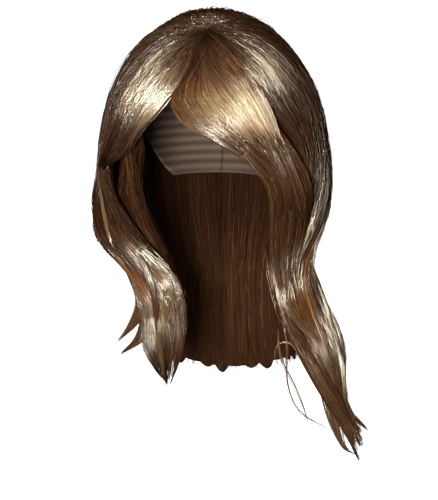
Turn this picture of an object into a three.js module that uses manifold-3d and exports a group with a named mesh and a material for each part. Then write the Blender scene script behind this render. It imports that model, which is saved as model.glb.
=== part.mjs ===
// A wig with bangs: a thin stretch cap sewn from panels, and hair in swept locks that start at a whorl above
// the forehead.
// Millimetres, +Z up, the face towards -Y, the wearer's left at +X. The origin is the inner top of the cap.
import * as THREE from 'three';
import { mergeVertices } from 'three/addons/utils/BufferGeometryUtils.js';
import Module from 'manifold-3d';

const wasm = await Module();
wasm.setup();

// The cap, measured inside
const capHalfWidth = 76;
const capHalfLength = 94;
const capHeight = 88;
const capWall = 1.8;
const foreheadDrop = 52;
const templeDrop = 84;
const earTabDrop = 118;
const behindEarDrop = 96;
const napeDrop = 146;
const crownSeamDrop = 36;

// How far the hair stands off the cap
const crownLoft = 18.2;
const sideLoft = 37.2;
const frontLoft = 12.2;
const backLoft = 26.2;

// The dome stands this much nearer at each side than the widest line does
const domeTuck = 3.5;

// The widest line of the hair lies under the middle of the cap, and the longest tip hangs under that line
const widestBelow = 42;
const hangLength = 291;

// Thickness of the hair, across its layers
const rootDepth = 27;
const bangsThickness = 8;
const sideThickness = 14;
const underThickness = 9;
const backThickness = 14;
const flickWidth = 17;
const flickThickness = 7;
const tipThickness = 2.4;
const grooveDepth = 2.6;
const swellHeight = 6;
const clearance = 0.3;

// Sizes of the whole hair, worked out from the cap and the lofts
const halfWidth = capHalfWidth + capWall + sideLoft;
const domeHalfWidth = halfWidth - domeTuck;
const frontReach = capHalfLength + capWall + frontLoft;
const backReach = capHalfLength + capWall + backLoft;
const widestZ = -capHeight - widestBelow;
const crownTop = capWall + crownLoft;
const domeDrop = crownTop - widestZ;

// Shares of a panel's length where its roots end and its tips begin to thin, and of its thickness at the edges
const rootEnd = 0.3;
const taperStart = 0.72;
const edgeShare = 0.5;

// The grooves between locks: how deep one may cut into the hair, and how far it runs into the loose tips
const grooveShare = 0.4;
const grooveRun = 0.12;

// Where the tips of most panels come loose, and how uneven they are, as shares of the length
const usualSplit = 0.7;
const usualRagged = 0.06;

// The same for the side hair, which comes loose only near its end
const sideSplit = 0.9;

// The share of the dome's height over which the hair under it joins it
const domeBlend = 0.25;

// Shape of a loose flick
const flickSides = 6;
const flickSteps = 8;
const flickTaperStart = 0.4;
const tipShare = 0.16;

// How finely the cap and its rim are made
const capTurns = 28;
const capLevels = 14;
const rimTurns = 60;

// A hairline is a row of points on the outer surface of the hair. side and depth are shares of the half width
// and of the front or back reach. fall is 0 at the crown, 1 at the widest line and 2 at the longest tip.
const shortSweepLines = [
  [
    { side: -0.01, depth: -0.54, fall: 0.15 },
    { side: -0.10, depth: -0.73, fall: 0.33 },
    { side: -0.19, depth: -0.81, fall: 0.44 },
    { side: -0.30, depth: -0.84, fall: 0.55 },
    { side: -0.43, depth: -0.84, fall: 0.66 },
    { side: -0.53, depth: -0.81, fall: 0.74 },
    { side: -0.61, depth: -0.79, fall: 0.83 },
    { side: -0.72, depth: -0.70, fall: 0.91 },
    { side: -0.82, depth: -0.58, fall: 0.98 },
  ],
  [
    { side: -0.02, depth: -0.53, fall: 0.15 },
    { side: -0.20, depth: -0.66, fall: 0.28 },
    { side: -0.35, depth: -0.74, fall: 0.43 },
    { side: -0.49, depth: -0.76, fall: 0.59 },
    { side: -0.64, depth: -0.73, fall: 0.74 },
    { side: -0.77, depth: -0.62, fall: 0.88 },
    { side: -0.88, depth: -0.48, fall: 1.00 },
  ],
  [
    { side: -0.02, depth: -0.52, fall: 0.14 },
    { side: -0.34, depth: -0.53, fall: 0.22 },
    { side: -0.55, depth: -0.52, fall: 0.35 },
    { side: -0.72, depth: -0.50, fall: 0.52 },
    { side: -0.83, depth: -0.48, fall: 0.73 },
    { side: -0.90, depth: -0.43, fall: 0.90 },
    { side: -0.94, depth: -0.36, fall: 1.02 },
  ],
];

const longSweepLines = [
  [
    { side: 0.00, depth: -0.54, fall: 0.15 },
    { side: -0.10, depth: -0.74, fall: 0.34 },
    { side: -0.20, depth: -0.81, fall: 0.45 },
    { side: -0.26, depth: -0.85, fall: 0.55 },
    { side: -0.23, depth: -0.89, fall: 0.61 },
    { side: -0.15, depth: -0.94, fall: 0.68 },
    { side: -0.01, depth: -0.97, fall: 0.74 },
    { side: 0.12, depth: -0.98, fall: 0.79 },
    { side: 0.27, depth: -0.96, fall: 0.86 },
    { side: 0.47, depth: -0.88, fall: 0.98 },
    { side: 0.62, depth: -0.77, fall: 1.08 },
  ],
  [
    { side: 0.01, depth: -0.54, fall: 0.15 },
    { side: 0.07, depth: -0.74, fall: 0.33 },
    { side: 0.19, depth: -0.81, fall: 0.45 },
    { side: 0.34, depth: -0.85, fall: 0.59 },
    { side: 0.47, depth: -0.85, fall: 0.74 },
    { side: 0.60, depth: -0.81, fall: 0.93 },
    { side: 0.71, depth: -0.74, fall: 1.12 },
  ],
  [
    { side: 0.02, depth: -0.52, fall: 0.14 },
    { side: 0.21, depth: -0.65, fall: 0.27 },
    { side: 0.40, depth: -0.71, fall: 0.41 },
    { side: 0.53, depth: -0.74, fall: 0.59 },
    { side: 0.61, depth: -0.76, fall: 0.75 },
    { side: 0.71, depth: -0.74, fall: 0.91 },
    { side: 0.79, depth: -0.69, fall: 1.03 },
    { side: 0.80, depth: -0.66, fall: 1.15 },
  ],
];

const rightSideLines = [
  [
    { side: -0.02, depth: -0.51, fall: 0.14 },
    { side: -0.35, depth: -0.54, fall: 0.22 },
    { side: -0.57, depth: -0.53, fall: 0.36 },
    { side: -0.74, depth: -0.51, fall: 0.54 },
    { side: -0.85, depth: -0.48, fall: 0.75 },
    { side: -0.91, depth: -0.42, fall: 0.93 },
    { side: -0.88, depth: -0.45, fall: 1.05 },
    { side: -0.76, depth: -0.54, fall: 1.13 },
    { side: -0.60, depth: -0.63, fall: 1.20 },
    { side: -0.40, depth: -0.69, fall: 1.28 },
    { side: -0.21, depth: -0.72, fall: 1.36 },
    { side: -0.16, depth: -0.74, fall: 1.48 },
    { side: -0.20, depth: -0.71, fall: 1.60 },
    { side: -0.31, depth: -0.63, fall: 1.71 },
  ],
  [
    { side: -0.03, depth: -0.50, fall: 0.13 },
    { side: -0.43, depth: -0.38, fall: 0.17 },
    { side: -0.74, depth: -0.27, fall: 0.36 },
    { side: -0.91, depth: -0.21, fall: 0.64 },
    { side: -0.95, depth: -0.18, fall: 1.00 },
    { side: -0.99, depth: -0.27, fall: 1.13 },
    { side: -0.86, depth: -0.42, fall: 1.23 },
    { side: -0.64, depth: -0.54, fall: 1.31 },
    { side: -0.46, depth: -0.60, fall: 1.41 },
    { side: -0.39, depth: -0.62, fall: 1.52 },
    { side: -0.37, depth: -0.60, fall: 1.62 },
    { side: -0.34, depth: -0.60, fall: 1.72 },
  ],
  [
    { side: -0.02, depth: -0.49, fall: 0.13 },
    { side: -0.47, depth: -0.22, fall: 0.14 },
    { side: -0.79, depth: -0.02, fall: 0.36 },
    { side: -0.95, depth: 0.03, fall: 0.66 },
    { side: -0.96, depth: 0.03, fall: 1.00 },
    { side: -1.01, depth: -0.02, fall: 1.15 },
    { side: -1.03, depth: -0.06, fall: 1.23 },
    { side: -0.88, depth: -0.16, fall: 1.31 },
    { side: -0.67, depth: -0.29, fall: 1.38 },
    { side: -0.58, depth: -0.38, fall: 1.47 },
    { side: -0.58, depth: -0.46, fall: 1.57 },
    { side: -0.47, depth: -0.52, fall: 1.66 },
    { side: -0.33, depth: -0.57, fall: 1.72 },
  ],
];

const rightFlickLines = [
  [
    { side: -0.84, depth: -0.18, fall: 1.29 },
    { side: -0.66, depth: -0.31, fall: 1.38 },
    { side: -0.60, depth: -0.36, fall: 1.45 },
    { side: -0.69, depth: -0.32, fall: 1.53 },
    { side: -0.86, depth: -0.23, fall: 1.61 },
  ],
  [
    { side: -0.70, depth: -0.32, fall: 1.35 },
    { side: -0.57, depth: -0.42, fall: 1.45 },
    { side: -0.55, depth: -0.43, fall: 1.51 },
    { side: -0.63, depth: -0.38, fall: 1.58 },
    { side: -0.83, depth: -0.28, fall: 1.65 },
  ],
];

const leftSideLines = [
  [
    { side: 0.02, depth: -0.51, fall: 0.14 },
    { side: 0.21, depth: -0.66, fall: 0.28 },
    { side: 0.39, depth: -0.72, fall: 0.42 },
    { side: 0.55, depth: -0.73, fall: 0.58 },
    { side: 0.69, depth: -0.67, fall: 0.74 },
    { side: 0.75, depth: -0.63, fall: 0.88 },
    { side: 0.76, depth: -0.63, fall: 1.02 },
    { side: 0.69, depth: -0.68, fall: 1.10 },
    { side: 0.60, depth: -0.65, fall: 1.16 },
    { side: 0.54, depth: -0.57, fall: 1.23 },
    { side: 0.54, depth: -0.53, fall: 1.31 },
    { side: 0.59, depth: -0.55, fall: 1.40 },
    { side: 0.65, depth: -0.58, fall: 1.48 },
    { side: 0.75, depth: -0.61, fall: 1.56 },
    { side: 0.90, depth: -0.60, fall: 1.67 },
    { side: 1.05, depth: -0.55, fall: 1.78 },
    { side: 1.18, depth: -0.46, fall: 1.88 },
    { side: 1.31, depth: -0.40, fall: 2.00 },
  ],
  [
    { side: 0.03, depth: -0.50, fall: 0.13 },
    { side: 0.42, depth: -0.44, fall: 0.20 },
    { side: 0.70, depth: -0.38, fall: 0.38 },
    { side: 0.87, depth: -0.34, fall: 0.64 },
    { side: 0.93, depth: -0.33, fall: 1.00 },
    { side: 0.90, depth: -0.36, fall: 1.14 },
    { side: 0.80, depth: -0.37, fall: 1.24 },
    { side: 0.76, depth: -0.36, fall: 1.33 },
    { side: 0.82, depth: -0.39, fall: 1.43 },
    { side: 0.95, depth: -0.43, fall: 1.54 },
    { side: 1.06, depth: -0.46, fall: 1.66 },
    { side: 1.15, depth: -0.44, fall: 1.78 },
    { side: 1.32, depth: -0.38, fall: 1.94 },
  ],
  [
    { side: 0.02, depth: -0.49, fall: 0.13 },
    { side: 0.47, depth: -0.22, fall: 0.14 },
    { side: 0.79, depth: -0.04, fall: 0.36 },
    { side: 0.95, depth: 0.01, fall: 0.66 },
    { side: 1.00, depth: 0.02, fall: 1.00 },
    { side: 0.98, depth: -0.01, fall: 1.16 },
    { side: 0.92, depth: -0.04, fall: 1.24 },
    { side: 0.86, depth: -0.08, fall: 1.33 },
    { side: 0.93, depth: -0.12, fall: 1.42 },
    { side: 1.06, depth: -0.17, fall: 1.50 },
    { side: 1.15, depth: -0.22, fall: 1.60 },
    { side: 1.15, depth: -0.27, fall: 1.70 },
    { side: 1.17, depth: -0.31, fall: 1.79 },
    { side: 1.40, depth: -0.34, fall: 1.88 },
  ],
];

const rightUnderLines = [
  [
    { side: -0.58, depth: -0.62, fall: 0.62 },
    { side: -0.62, depth: -0.68, fall: 0.82 },
    { side: -0.58, depth: -0.70, fall: 1.00 },
    { side: -0.50, depth: -0.68, fall: 1.12 },
    { side: -0.41, depth: -0.64, fall: 1.21 },
    { side: -0.29, depth: -0.62, fall: 1.29 },
    { side: -0.22, depth: -0.62, fall: 1.38 },
  ],
  [
    { side: -0.74, depth: -0.20, fall: 0.66 },
    { side: -0.80, depth: -0.24, fall: 1.00 },
    { side: -0.74, depth: -0.30, fall: 1.16 },
    { side: -0.58, depth: -0.36, fall: 1.28 },
    { side: -0.46, depth: -0.42, fall: 1.40 },
  ],
];

const leftUnderLines = [
  [
    { side: 0.62, depth: -0.56, fall: 0.62 },
    { side: 0.66, depth: -0.58, fall: 0.90 },
    { side: 0.61, depth: -0.60, fall: 1.10 },
    { side: 0.53, depth: -0.54, fall: 1.21 },
    { side: 0.50, depth: -0.46, fall: 1.31 },
    { side: 0.55, depth: -0.44, fall: 1.42 },
  ],
  [
    { side: 0.74, depth: -0.16, fall: 0.66 },
    { side: 0.80, depth: -0.16, fall: 1.00 },
    { side: 0.76, depth: -0.16, fall: 1.18 },
    { side: 0.68, depth: -0.18, fall: 1.32 },
    { side: 0.70, depth: -0.20, fall: 1.46 },
  ],
];

const backLines = [
  [
    { side: -0.02, depth: -0.49, fall: 0.13 },
    { side: -0.49, depth: -0.26, fall: 0.16 },
    { side: -0.80, depth: -0.08, fall: 0.38 },
    { side: -0.95, depth: -0.03, fall: 0.68 },
    { side: -0.99, depth: -0.02, fall: 1.00 },
    { side: -0.96, depth: 0.03, fall: 1.16 },
    { side: -0.80, depth: 0.10, fall: 1.30 },
    { side: -0.64, depth: 0.16, fall: 1.42 },
    { side: -0.56, depth: 0.24, fall: 1.54 },
    { side: -0.50, depth: 0.32, fall: 1.68 },
  ],
  [
    { side: -0.01, depth: -0.48, fall: 0.12 },
    { side: -0.34, depth: 0.14, fall: 0.08 },
    { side: -0.60, depth: 0.50, fall: 0.30 },
    { side: -0.72, depth: 0.62, fall: 0.66 },
    { side: -0.74, depth: 0.66, fall: 1.00 },
    { side: -0.68, depth: 0.64, fall: 1.18 },
    { side: -0.54, depth: 0.62, fall: 1.36 },
    { side: -0.46, depth: 0.68, fall: 1.54 },
    { side: -0.42, depth: 0.78, fall: 1.72 },
    { side: -0.44, depth: 0.88, fall: 1.82 },
  ],
  [
    { side: 0.00, depth: -0.48, fall: 0.12 },
    { side: 0.00, depth: 0.24, fall: 0.03 },
    { side: 0.00, depth: 0.68, fall: 0.26 },
    { side: 0.00, depth: 0.92, fall: 0.62 },
    { side: 0.00, depth: 1.00, fall: 1.00 },
    { side: 0.00, depth: 0.94, fall: 1.20 },
    { side: 0.01, depth: 0.82, fall: 1.40 },
    { side: 0.02, depth: 0.86, fall: 1.60 },
    { side: 0.03, depth: 0.97, fall: 1.78 },
    { side: 0.03, depth: 1.08, fall: 1.88 },
  ],
  [
    { side: 0.01, depth: -0.48, fall: 0.12 },
    { side: 0.34, depth: 0.14, fall: 0.08 },
    { side: 0.60, depth: 0.50, fall: 0.30 },
    { side: 0.72, depth: 0.62, fall: 0.66 },
    { side: 0.74, depth: 0.66, fall: 1.00 },
    { side: 0.68, depth: 0.64, fall: 1.18 },
    { side: 0.56, depth: 0.62, fall: 1.36 },
    { side: 0.52, depth: 0.68, fall: 1.54 },
    { side: 0.52, depth: 0.78, fall: 1.72 },
    { side: 0.56, depth: 0.88, fall: 1.82 },
  ],
  [
    { side: 0.02, depth: -0.49, fall: 0.13 },
    { side: 0.49, depth: -0.26, fall: 0.16 },
    { side: 0.80, depth: -0.10, fall: 0.38 },
    { side: 0.95, depth: -0.05, fall: 0.68 },
    { side: 0.99, depth: -0.04, fall: 1.00 },
    { side: 0.96, depth: 0.02, fall: 1.16 },
    { side: 0.84, depth: 0.09, fall: 1.30 },
    { side: 0.78, depth: 0.14, fall: 1.42 },
    { side: 0.76, depth: 0.22, fall: 1.54 },
    { side: 0.78, depth: 0.30, fall: 1.70 },
  ],
];

function smoothShare(value, start, end) {
  const share = Math.min(1, Math.max(0, (value - start) / (end - start)));
  return share * share * (3 - 2 * share);
}

// The point that a row of a hairline stands for
function placed({ side, depth, fall }) {
  const reach = depth < 0 ? frontReach : backReach;
  const z = fall < 1 ? crownTop - fall * domeDrop : widestZ - (fall - 1) * hangLength;
  return new THREE.Vector3(side * halfWidth, depth * reach, z);
}

// The dome of the hair is half an ellipsoid, deeper behind than in front
function domeShares(point) {
  const reach = point.y < 0 ? frontReach : backReach;
  const height = Math.max(0, point.z - widestZ);
  return new THREE.Vector3(point.x / domeHalfWidth, point.y / reach, height / domeDrop);
}

// Above the widest line a point is moved out or in until it lies on the dome
function onDome(point) {
  const height = point.z - widestZ;
  if (height <= 0) {
    return point.clone();
  }
  const centre = new THREE.Vector3(0, 0, widestZ);
  const onSurface = point.clone().sub(centre).divideScalar(domeShares(point).length()).add(centre);
  return point.clone().lerp(onSurface, smoothShare(height, 0, domeBlend * domeDrop));
}

function outward(point) {
  const reach = point.y < 0 ? frontReach : backReach;
  const shares = domeShares(point);
  return new THREE.Vector3(shares.x / domeHalfWidth, shares.y / reach, shares.z / domeDrop).normalize();
}

// The point of a panel at a share across it and a share along its hairlines. Soft waves swell to the front.
function panelPoint(curves, swells, across, along) {
  const stations = curves.map((curve) => curve.getPointAt(along));
  const point = onDome(new THREE.CatmullRomCurve3(stations).getPoint(across));
  swells.forEach(({ along: crest, spread, rise }) => {
    point.y -= rise * swellHeight * Math.exp(-(((along - crest) / spread) ** 2));
  });
  return point;
}

function solidOf(points, triangles) {
  const mesh = new wasm.Mesh({
    numProp: 3,
    vertProperties: new Float32Array(points.flatMap((point) => [point.x, point.y, point.z])),
    triVerts: new Uint32Array(triangles),
  });
  return new wasm.Manifold(mesh);
}

// A slab has an outer and an inner grid of points, column by column, closed by strips round its edge
function slab(outer, inner) {
  const columns = outer.length;
  const rows = outer[0].length;
  const half = columns * rows;
  const triangles = [];
  const quad = (a, b, c, d) => triangles.push(a, b, c, a, c, d);
  for (let column = 0; column + 1 < columns; column += 1) {
    for (let row = 0; row + 1 < rows; row += 1) {
      const here = column * rows + row;
      const beside = here + rows;
      quad(here, beside, beside + 1, here + 1);
      quad(half + here, half + here + 1, half + beside + 1, half + beside);
    }
    const root = column * rows;
    const tip = root + rows - 1;
    quad(root, half + root, half + root + rows, root + rows);
    quad(tip, tip + rows, half + tip + rows, half + tip);
  }
  for (let row = 0; row + 1 < rows; row += 1) {
    const last = (columns - 1) * rows + row;
    quad(row, row + 1, half + row + 1, half + row);
    quad(last, half + last, half + last + 1, last + 1);
  }
  const across = outer[1][1].clone().sub(outer[0][1]);
  const along = outer[0][2].clone().sub(outer[0][1]);
  const faceSide = across.cross(along).dot(outer[0][1].clone().sub(inner[0][1]));
  const wound = faceSide > 0 ? triangles : triangles.reverse();
  return solidOf([...outer.flat(), ...inner.flat()], wound);
}

// A panel of hair is one slab between its first and its last hairline. Each lock has a ridge down its middle
// and grooves beside it. From the split on the grooves open, and the locks run out in ragged tips.
function panelSolid(panel, grow) {
  const { lines, swells = [], locks, steps, thickness, ragged = usualRagged, split = usualSplit } = panel;
  const curves = lines.map((rows) => new THREE.CatmullRomCurve3(rows.map(placed), false, 'centripetal'));
  const columns = 2 * locks;
  const outer = [];
  const inner = [];
  for (let column = 0; column <= columns; column += 1) {
    const across = column / columns;
    const isRidge = column % 2 === 1;
    const unevenness = ((column - 1) % 3) / 2;
    const end = isRidge ? 1 - ragged * unevenness : split + grooveRun * (1 - split);
    const edge = THREE.MathUtils.lerp(edgeShare, 1, Math.sqrt(Math.sin(Math.PI * across)));
    const outerColumn = [];
    const innerColumn = [];
    for (let row = 0; row <= steps; row += 1) {
      const even = row / steps;
      const past = Math.max(0, (even - split) / (1 - split));
      const along = Math.min(even, split) + past * (end - split);
      const surface = panelPoint(curves, swells, across, along);
      const out = outward(surface);
      const body = THREE.MathUtils.lerp(rootDepth, thickness * edge, smoothShare(along, 0, rootEnd));
      const depth = THREE.MathUtils.lerp(body, tipThickness, smoothShare(even, taperStart, 1));
      const groove = isRidge ? 0 : Math.min(grooveDepth, grooveShare * depth);
      outerColumn.push(surface.clone().addScaledVector(out, grow - groove));
      innerColumn.push(surface.clone().addScaledVector(out, -depth - grow));
    }
    outer.push(outerColumn);
    inner.push(innerColumn);
  }
  if (grow > 0) {
    [outer, inner].forEach((grid) => widen(grid, grow));
  }
  return slab(outer, inner);
}

// Moves the edge of a grid of points outwards
function widen(grid, grow) {
  const last = grid.length - 1;
  const end = grid[0].length - 1;
  const push = (point, from) => point.addScaledVector(point.clone().sub(from).normalize(), grow);
  grid.forEach((column) => {
    push(column[0], column[1]);
    push(column[end], column[end - 1]);
  });
  grid[0].forEach((point, row) => push(point, grid[1][row]));
  grid[last].forEach((point, row) => push(point, grid[last - 1][row]));
}

// The sides of a ring of sections joined into one closed solid
function closedSolid(rings, first, last) {
  const sides = rings[0].length;
  const lastIndex = 1 + rings.length * sides;
  const triangles = [];
  for (let side = 0; side < sides; side += 1) {
    const next = (side + 1) % sides;
    triangles.push(0, 1 + side, 1 + next);
    for (let ring = 0; ring + 1 < rings.length; ring += 1) {
      const here = 1 + ring * sides;
      const after = here + sides;
      triangles.push(here + side, after + next, here + next);
      triangles.push(here + side, after + side, after + next);
    }
    const end = 1 + (rings.length - 1) * sides;
    triangles.push(end + side, lastIndex, end + next);
  }
  return solidOf([first, ...rings.flat(), last], triangles);
}

// A loose flick is one swept lock along one hairline, with its flat side to the front
function flickSolid(rows, grow) {
  const front = new THREE.Vector3(0, -1, 0);
  const curve = new THREE.CatmullRomCurve3(rows.map(placed), false, 'centripetal');
  const rings = [];
  for (let step = 0; step <= flickSteps; step += 1) {
    const share = step / flickSteps;
    const surface = onDome(curve.getPointAt(share));
    const along = curve.getTangentAt(share);
    const across = along.clone().cross(front).normalize();
    const out = across.clone().cross(along).normalize();
    const taper = THREE.MathUtils.lerp(1, tipShare, smoothShare(share, flickTaperStart, 1));
    const centre = surface.clone().addScaledVector(out, -flickThickness / 2);
    rings.push(Array.from({ length: flickSides }, (unused, side) => {
      const angle = side * 2 * Math.PI / flickSides;
      return centre.clone()
        .addScaledVector(across, Math.cos(angle) * (taper * flickWidth / 2 + grow))
        .addScaledVector(out, Math.sin(angle) * (taper * flickThickness / 2 + grow));
    }));
  }
  const sumOf = (ring) => ring.reduce((sum, point) => sum.add(point), new THREE.Vector3());
  const middle = (ring) => sumOf(ring).divideScalar(flickSides);
  return closedSolid(rings, middle(rings[0]), middle(rings[flickSteps]));
}

// The ellipsoid of the head's side of the cap, moved out by an offset
function capEllipsoid(offset) {
  const centre = new THREE.Vector3(0, 0, -capHeight);
  const size = new THREE.Vector3(capHalfWidth + offset, capHalfLength + offset, capHeight + offset);
  const rings = [];
  for (let level = 1; level < capLevels; level += 1) {
    const polar = Math.PI * level / capLevels;
    rings.push(Array.from({ length: capTurns }, (unused, turn) => {
      const azimuth = 2 * Math.PI * turn / capTurns;
      const ball = new THREE.Vector3(
        Math.sin(polar) * Math.sin(azimuth),
        -Math.sin(polar) * Math.cos(azimuth),
        Math.cos(polar),
      );
      return ball.multiply(size).add(centre);
    }));
  }
  const top = new THREE.Vector3(0, 0, offset);
  const bottom = new THREE.Vector3(0, 0, -2 * capHeight - offset);
  return closedSolid(rings, top, bottom);
}

// Drop of the cap's rim under its inner top, by the turn from the forehead round to the nape
const rimRows = [
  { turn: 0, drop: foreheadDrop },
  { turn: 35, drop: foreheadDrop },
  { turn: 55, drop: templeDrop },
  { turn: 75, drop: earTabDrop },
  { turn: 86, drop: earTabDrop },
  { turn: 104, drop: behindEarDrop },
  { turn: 135, drop: napeDrop },
  { turn: 180, drop: napeDrop },
];

function rimDrop(turn) {
  const folded = Math.abs(turn > 180 ? 360 - turn : turn);
  const next = Math.max(1, rimRows.findIndex((row) => row.turn >= folded));
  const from = rimRows[next - 1];
  const to = rimRows[next];
  return THREE.MathUtils.lerp(from.drop, to.drop, smoothShare(folded, from.turn, to.turn));
}

// Everything under the rim, from the axis out past the cap
function underRim() {
  const inner = 0.5 * capHalfWidth;
  const outer = 2 * capHalfLength;
  const floorZ = -3 * capHeight;
  const ring = (radius, height) => Array.from({ length: rimTurns }, (unused, index) => {
    const turn = 360 * index / rimTurns;
    const azimuth = THREE.MathUtils.degToRad(turn);
    return new THREE.Vector3(radius * Math.sin(azimuth), -radius * Math.cos(azimuth), height(turn));
  });
  const rim = (turn) => -rimDrop(turn);
  const rings = [ring(inner, rim), ring(outer, rim), ring(outer, () => floorZ)];
  return closedSolid(rings, new THREE.Vector3(0, 0, -earTabDrop), new THREE.Vector3(0, 0, floorZ));
}

// Soft waves of the side hair: where along it each one swells, over what share of its length, and how far,
// as a share of the swell height
const rightSwells = [
  { along: 0.63, spread: 0.05, rise: 1.0 },
  { along: 0.765, spread: 0.04, rise: 0.4 },
  { along: 0.895, spread: 0.05, rise: 0.9 },
];
const leftSwells = [
  { along: 0.62, spread: 0.04, rise: 0.9 },
  { along: 0.79, spread: 0.05, rise: 0.8 },
  { along: 0.93, spread: 0.04, rise: 0.7 },
];

const capSolid = capEllipsoid(capWall).subtract(capEllipsoid(0)).subtract(underRim());

// The cap is sewn from panels: four on the crown and four round the band, with seams between them
const capQuarters = [
  { name: 'front_left', side: 1, end: -1 },
  { name: 'back_left', side: 1, end: 1 },
  { name: 'back_right', side: -1, end: 1 },
  { name: 'front_right', side: -1, end: -1 },
];
const capLevelRows = [
  { name: 'crown', low: -crownSeamDrop + clearance / 2, high: capWall + clearance },
  { name: 'band', low: -napeDrop - capHeight, high: -crownSeamDrop - clearance / 2 },
];

function boxSolid(low, high) {
  const size = high.clone().sub(low);
  const middle = low.clone().add(high).divideScalar(2);
  const box = new THREE.BoxGeometry(size.x, size.y, size.z).translate(middle.x, middle.y, middle.z);
  box.deleteAttribute('normal');
  box.deleteAttribute('uv');
  const merged = mergeVertices(box);
  const corner = new THREE.Vector3();
  const points = Array.from({ length: merged.attributes.position.count }, (unused, index) => (
    corner.fromBufferAttribute(merged.attributes.position, index).clone()
  ));
  return solidOf(points, Array.from(merged.index.array));
}

function capPanel(quarter, level) {
  const past = 2 * capHalfLength;
  const sides = [quarter.side * clearance / 2, quarter.side * past];
  const ends = [quarter.end * clearance / 2, quarter.end * past];
  const low = new THREE.Vector3(Math.min(...sides), Math.min(...ends), level.low);
  const high = new THREE.Vector3(Math.max(...sides), Math.max(...ends), level.high);
  return capSolid.intersect(boxSolid(low, high));
}

const headSide = capEllipsoid(capWall + clearance);

// Each layer of hair is cut by the layers that lie on it, and all of them by the cap
const layers = [
  {
    name: 'bangs_short_sweep',
    colour: 0xc9a871,
    panel: { lines: shortSweepLines, locks: 6, steps: 9, thickness: bangsThickness },
    flicks: [],
  },
  {
    name: 'bangs_long_sweep',
    colour: 0xd2b784,
    panel: {
      lines: longSweepLines,
      locks: 8,
      steps: 12,
      thickness: bangsThickness,
      ragged: 0.03,
      split: 0.8,
    },
    flicks: [],
  },
  {
    name: 'right_side_hair',
    colour: 0xa67c4c,
    panel: {
      lines: rightSideLines,
      swells: rightSwells,
      locks: 7,
      steps: 22,
      thickness: sideThickness,
      split: sideSplit,
    },
    flicks: rightFlickLines,
  },
  {
    name: 'left_side_hair',
    colour: 0xa67c4c,
    panel: {
      lines: leftSideLines,
      swells: leftSwells,
      locks: 7,
      steps: 24,
      thickness: sideThickness,
      split: sideSplit,
    },
    flicks: [],
  },
  {
    name: 'back_hair',
    colour: 0x8f6a40,
    panel: {
      lines: backLines,
      locks: 14,
      steps: 12,
      thickness: backThickness,
      ragged: 0.06,
      split: 0.93,
    },
    flicks: [],
  },
  {
    name: 'right_under_hair',
    colour: 0x5d4027,
    panel: { lines: rightUnderLines, locks: 4, steps: 7, thickness: underThickness },
    flicks: [],
  },
  {
    name: 'left_under_hair',
    colour: 0x5d4027,
    panel: { lines: leftUnderLines, locks: 4, steps: 7, thickness: underThickness },
    flicks: [],
  },
];

function layerSolid({ panel, flicks }, grow) {
  return flicks.reduce((solid, rows) => solid.add(flickSolid(rows, grow)), panelSolid(panel, grow));
}

function meshOf(name, solid, colour, roughness) {
  const result = solid.getMesh();
  const geometry = new THREE.BufferGeometry();
  geometry.setAttribute('position', new THREE.BufferAttribute(new Float32Array(result.vertProperties), 3));
  geometry.setIndex(new THREE.BufferAttribute(new Uint32Array(result.triVerts), 1));
  const material = new THREE.MeshStandardMaterial({ color: colour, roughness, metalness: 0 });
  const mesh = new THREE.Mesh(geometry, material);
  mesh.name = name;
  return mesh;
}

// The largest body of a cut solid, without the crumbs that a cut leaves
function mainBody(solid) {
  return solid.decompose().reduce((best, part) => (part.volume() > best.volume() ? part : best));
}

const wig = new THREE.Group();
capLevelRows.forEach((level) => capQuarters.forEach((quarter) => {
  wig.add(meshOf(`cap_${level.name}_${quarter.name}`, capPanel(quarter, level), 0x3a2c20, 0.8));
}));
layers.forEach((layer, index) => {
  const grows = [clearance, 0];
  const above = layers.slice(0, index).flatMap((other) => grows.map((grow) => layerSolid(other, grow)));
  const whole = layerSolid(layer, 0).subtract(headSide);
  const solid = above.reduce((rest, other) => rest.subtract(other), whole);
  wig.add(meshOf(layer.name, mainBody(solid), layer.colour, 0.45));
});

export default wig;
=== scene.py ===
# %% [markdown]
# # A long wig with bangs
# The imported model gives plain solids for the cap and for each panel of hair. This lesson gives them
# their looks. A wig is a thin stretch cap with thousands of glossy fibres sewn to it. The fibres are
# far too many to place one by one, so each panel gets a smooth core, which keeps the form of its solid,
# and a coat of strands that follow it.

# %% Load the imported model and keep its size
import math

import bmesh
import bpy
import numpy as np
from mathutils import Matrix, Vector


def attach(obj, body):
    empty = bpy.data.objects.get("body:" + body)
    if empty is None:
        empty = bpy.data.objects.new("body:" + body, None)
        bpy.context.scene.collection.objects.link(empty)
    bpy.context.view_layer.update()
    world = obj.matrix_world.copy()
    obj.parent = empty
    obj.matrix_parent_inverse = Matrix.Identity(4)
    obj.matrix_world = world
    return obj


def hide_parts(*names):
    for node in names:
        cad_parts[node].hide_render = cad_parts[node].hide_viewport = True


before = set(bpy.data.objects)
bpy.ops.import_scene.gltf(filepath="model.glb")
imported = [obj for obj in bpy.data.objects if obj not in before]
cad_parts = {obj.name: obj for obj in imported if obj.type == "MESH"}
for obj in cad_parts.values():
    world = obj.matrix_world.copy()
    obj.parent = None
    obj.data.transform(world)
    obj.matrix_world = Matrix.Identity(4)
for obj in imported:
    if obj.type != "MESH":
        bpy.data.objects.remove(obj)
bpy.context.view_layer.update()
print("packed nodes:", sorted(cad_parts))

# %% [markdown]
# ## The view
# The camera is made first, because every later choice is judged through it. It looks from a little to
# one side and a little from above, and its lens makes one millimetre of the middle of the hair about
# one pixel wide.

# %% Camera
PICTURE_HEIGHT = 500
CAMERA_TURN = math.radians(6)
CAMERA_RISE = math.radians(11)
CAMERA_DISTANCE = 1.15
CAMERA_TARGET = np.array([0.005, 0.0, -0.216])
PIXELS_PER_METRE = 1000


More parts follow.
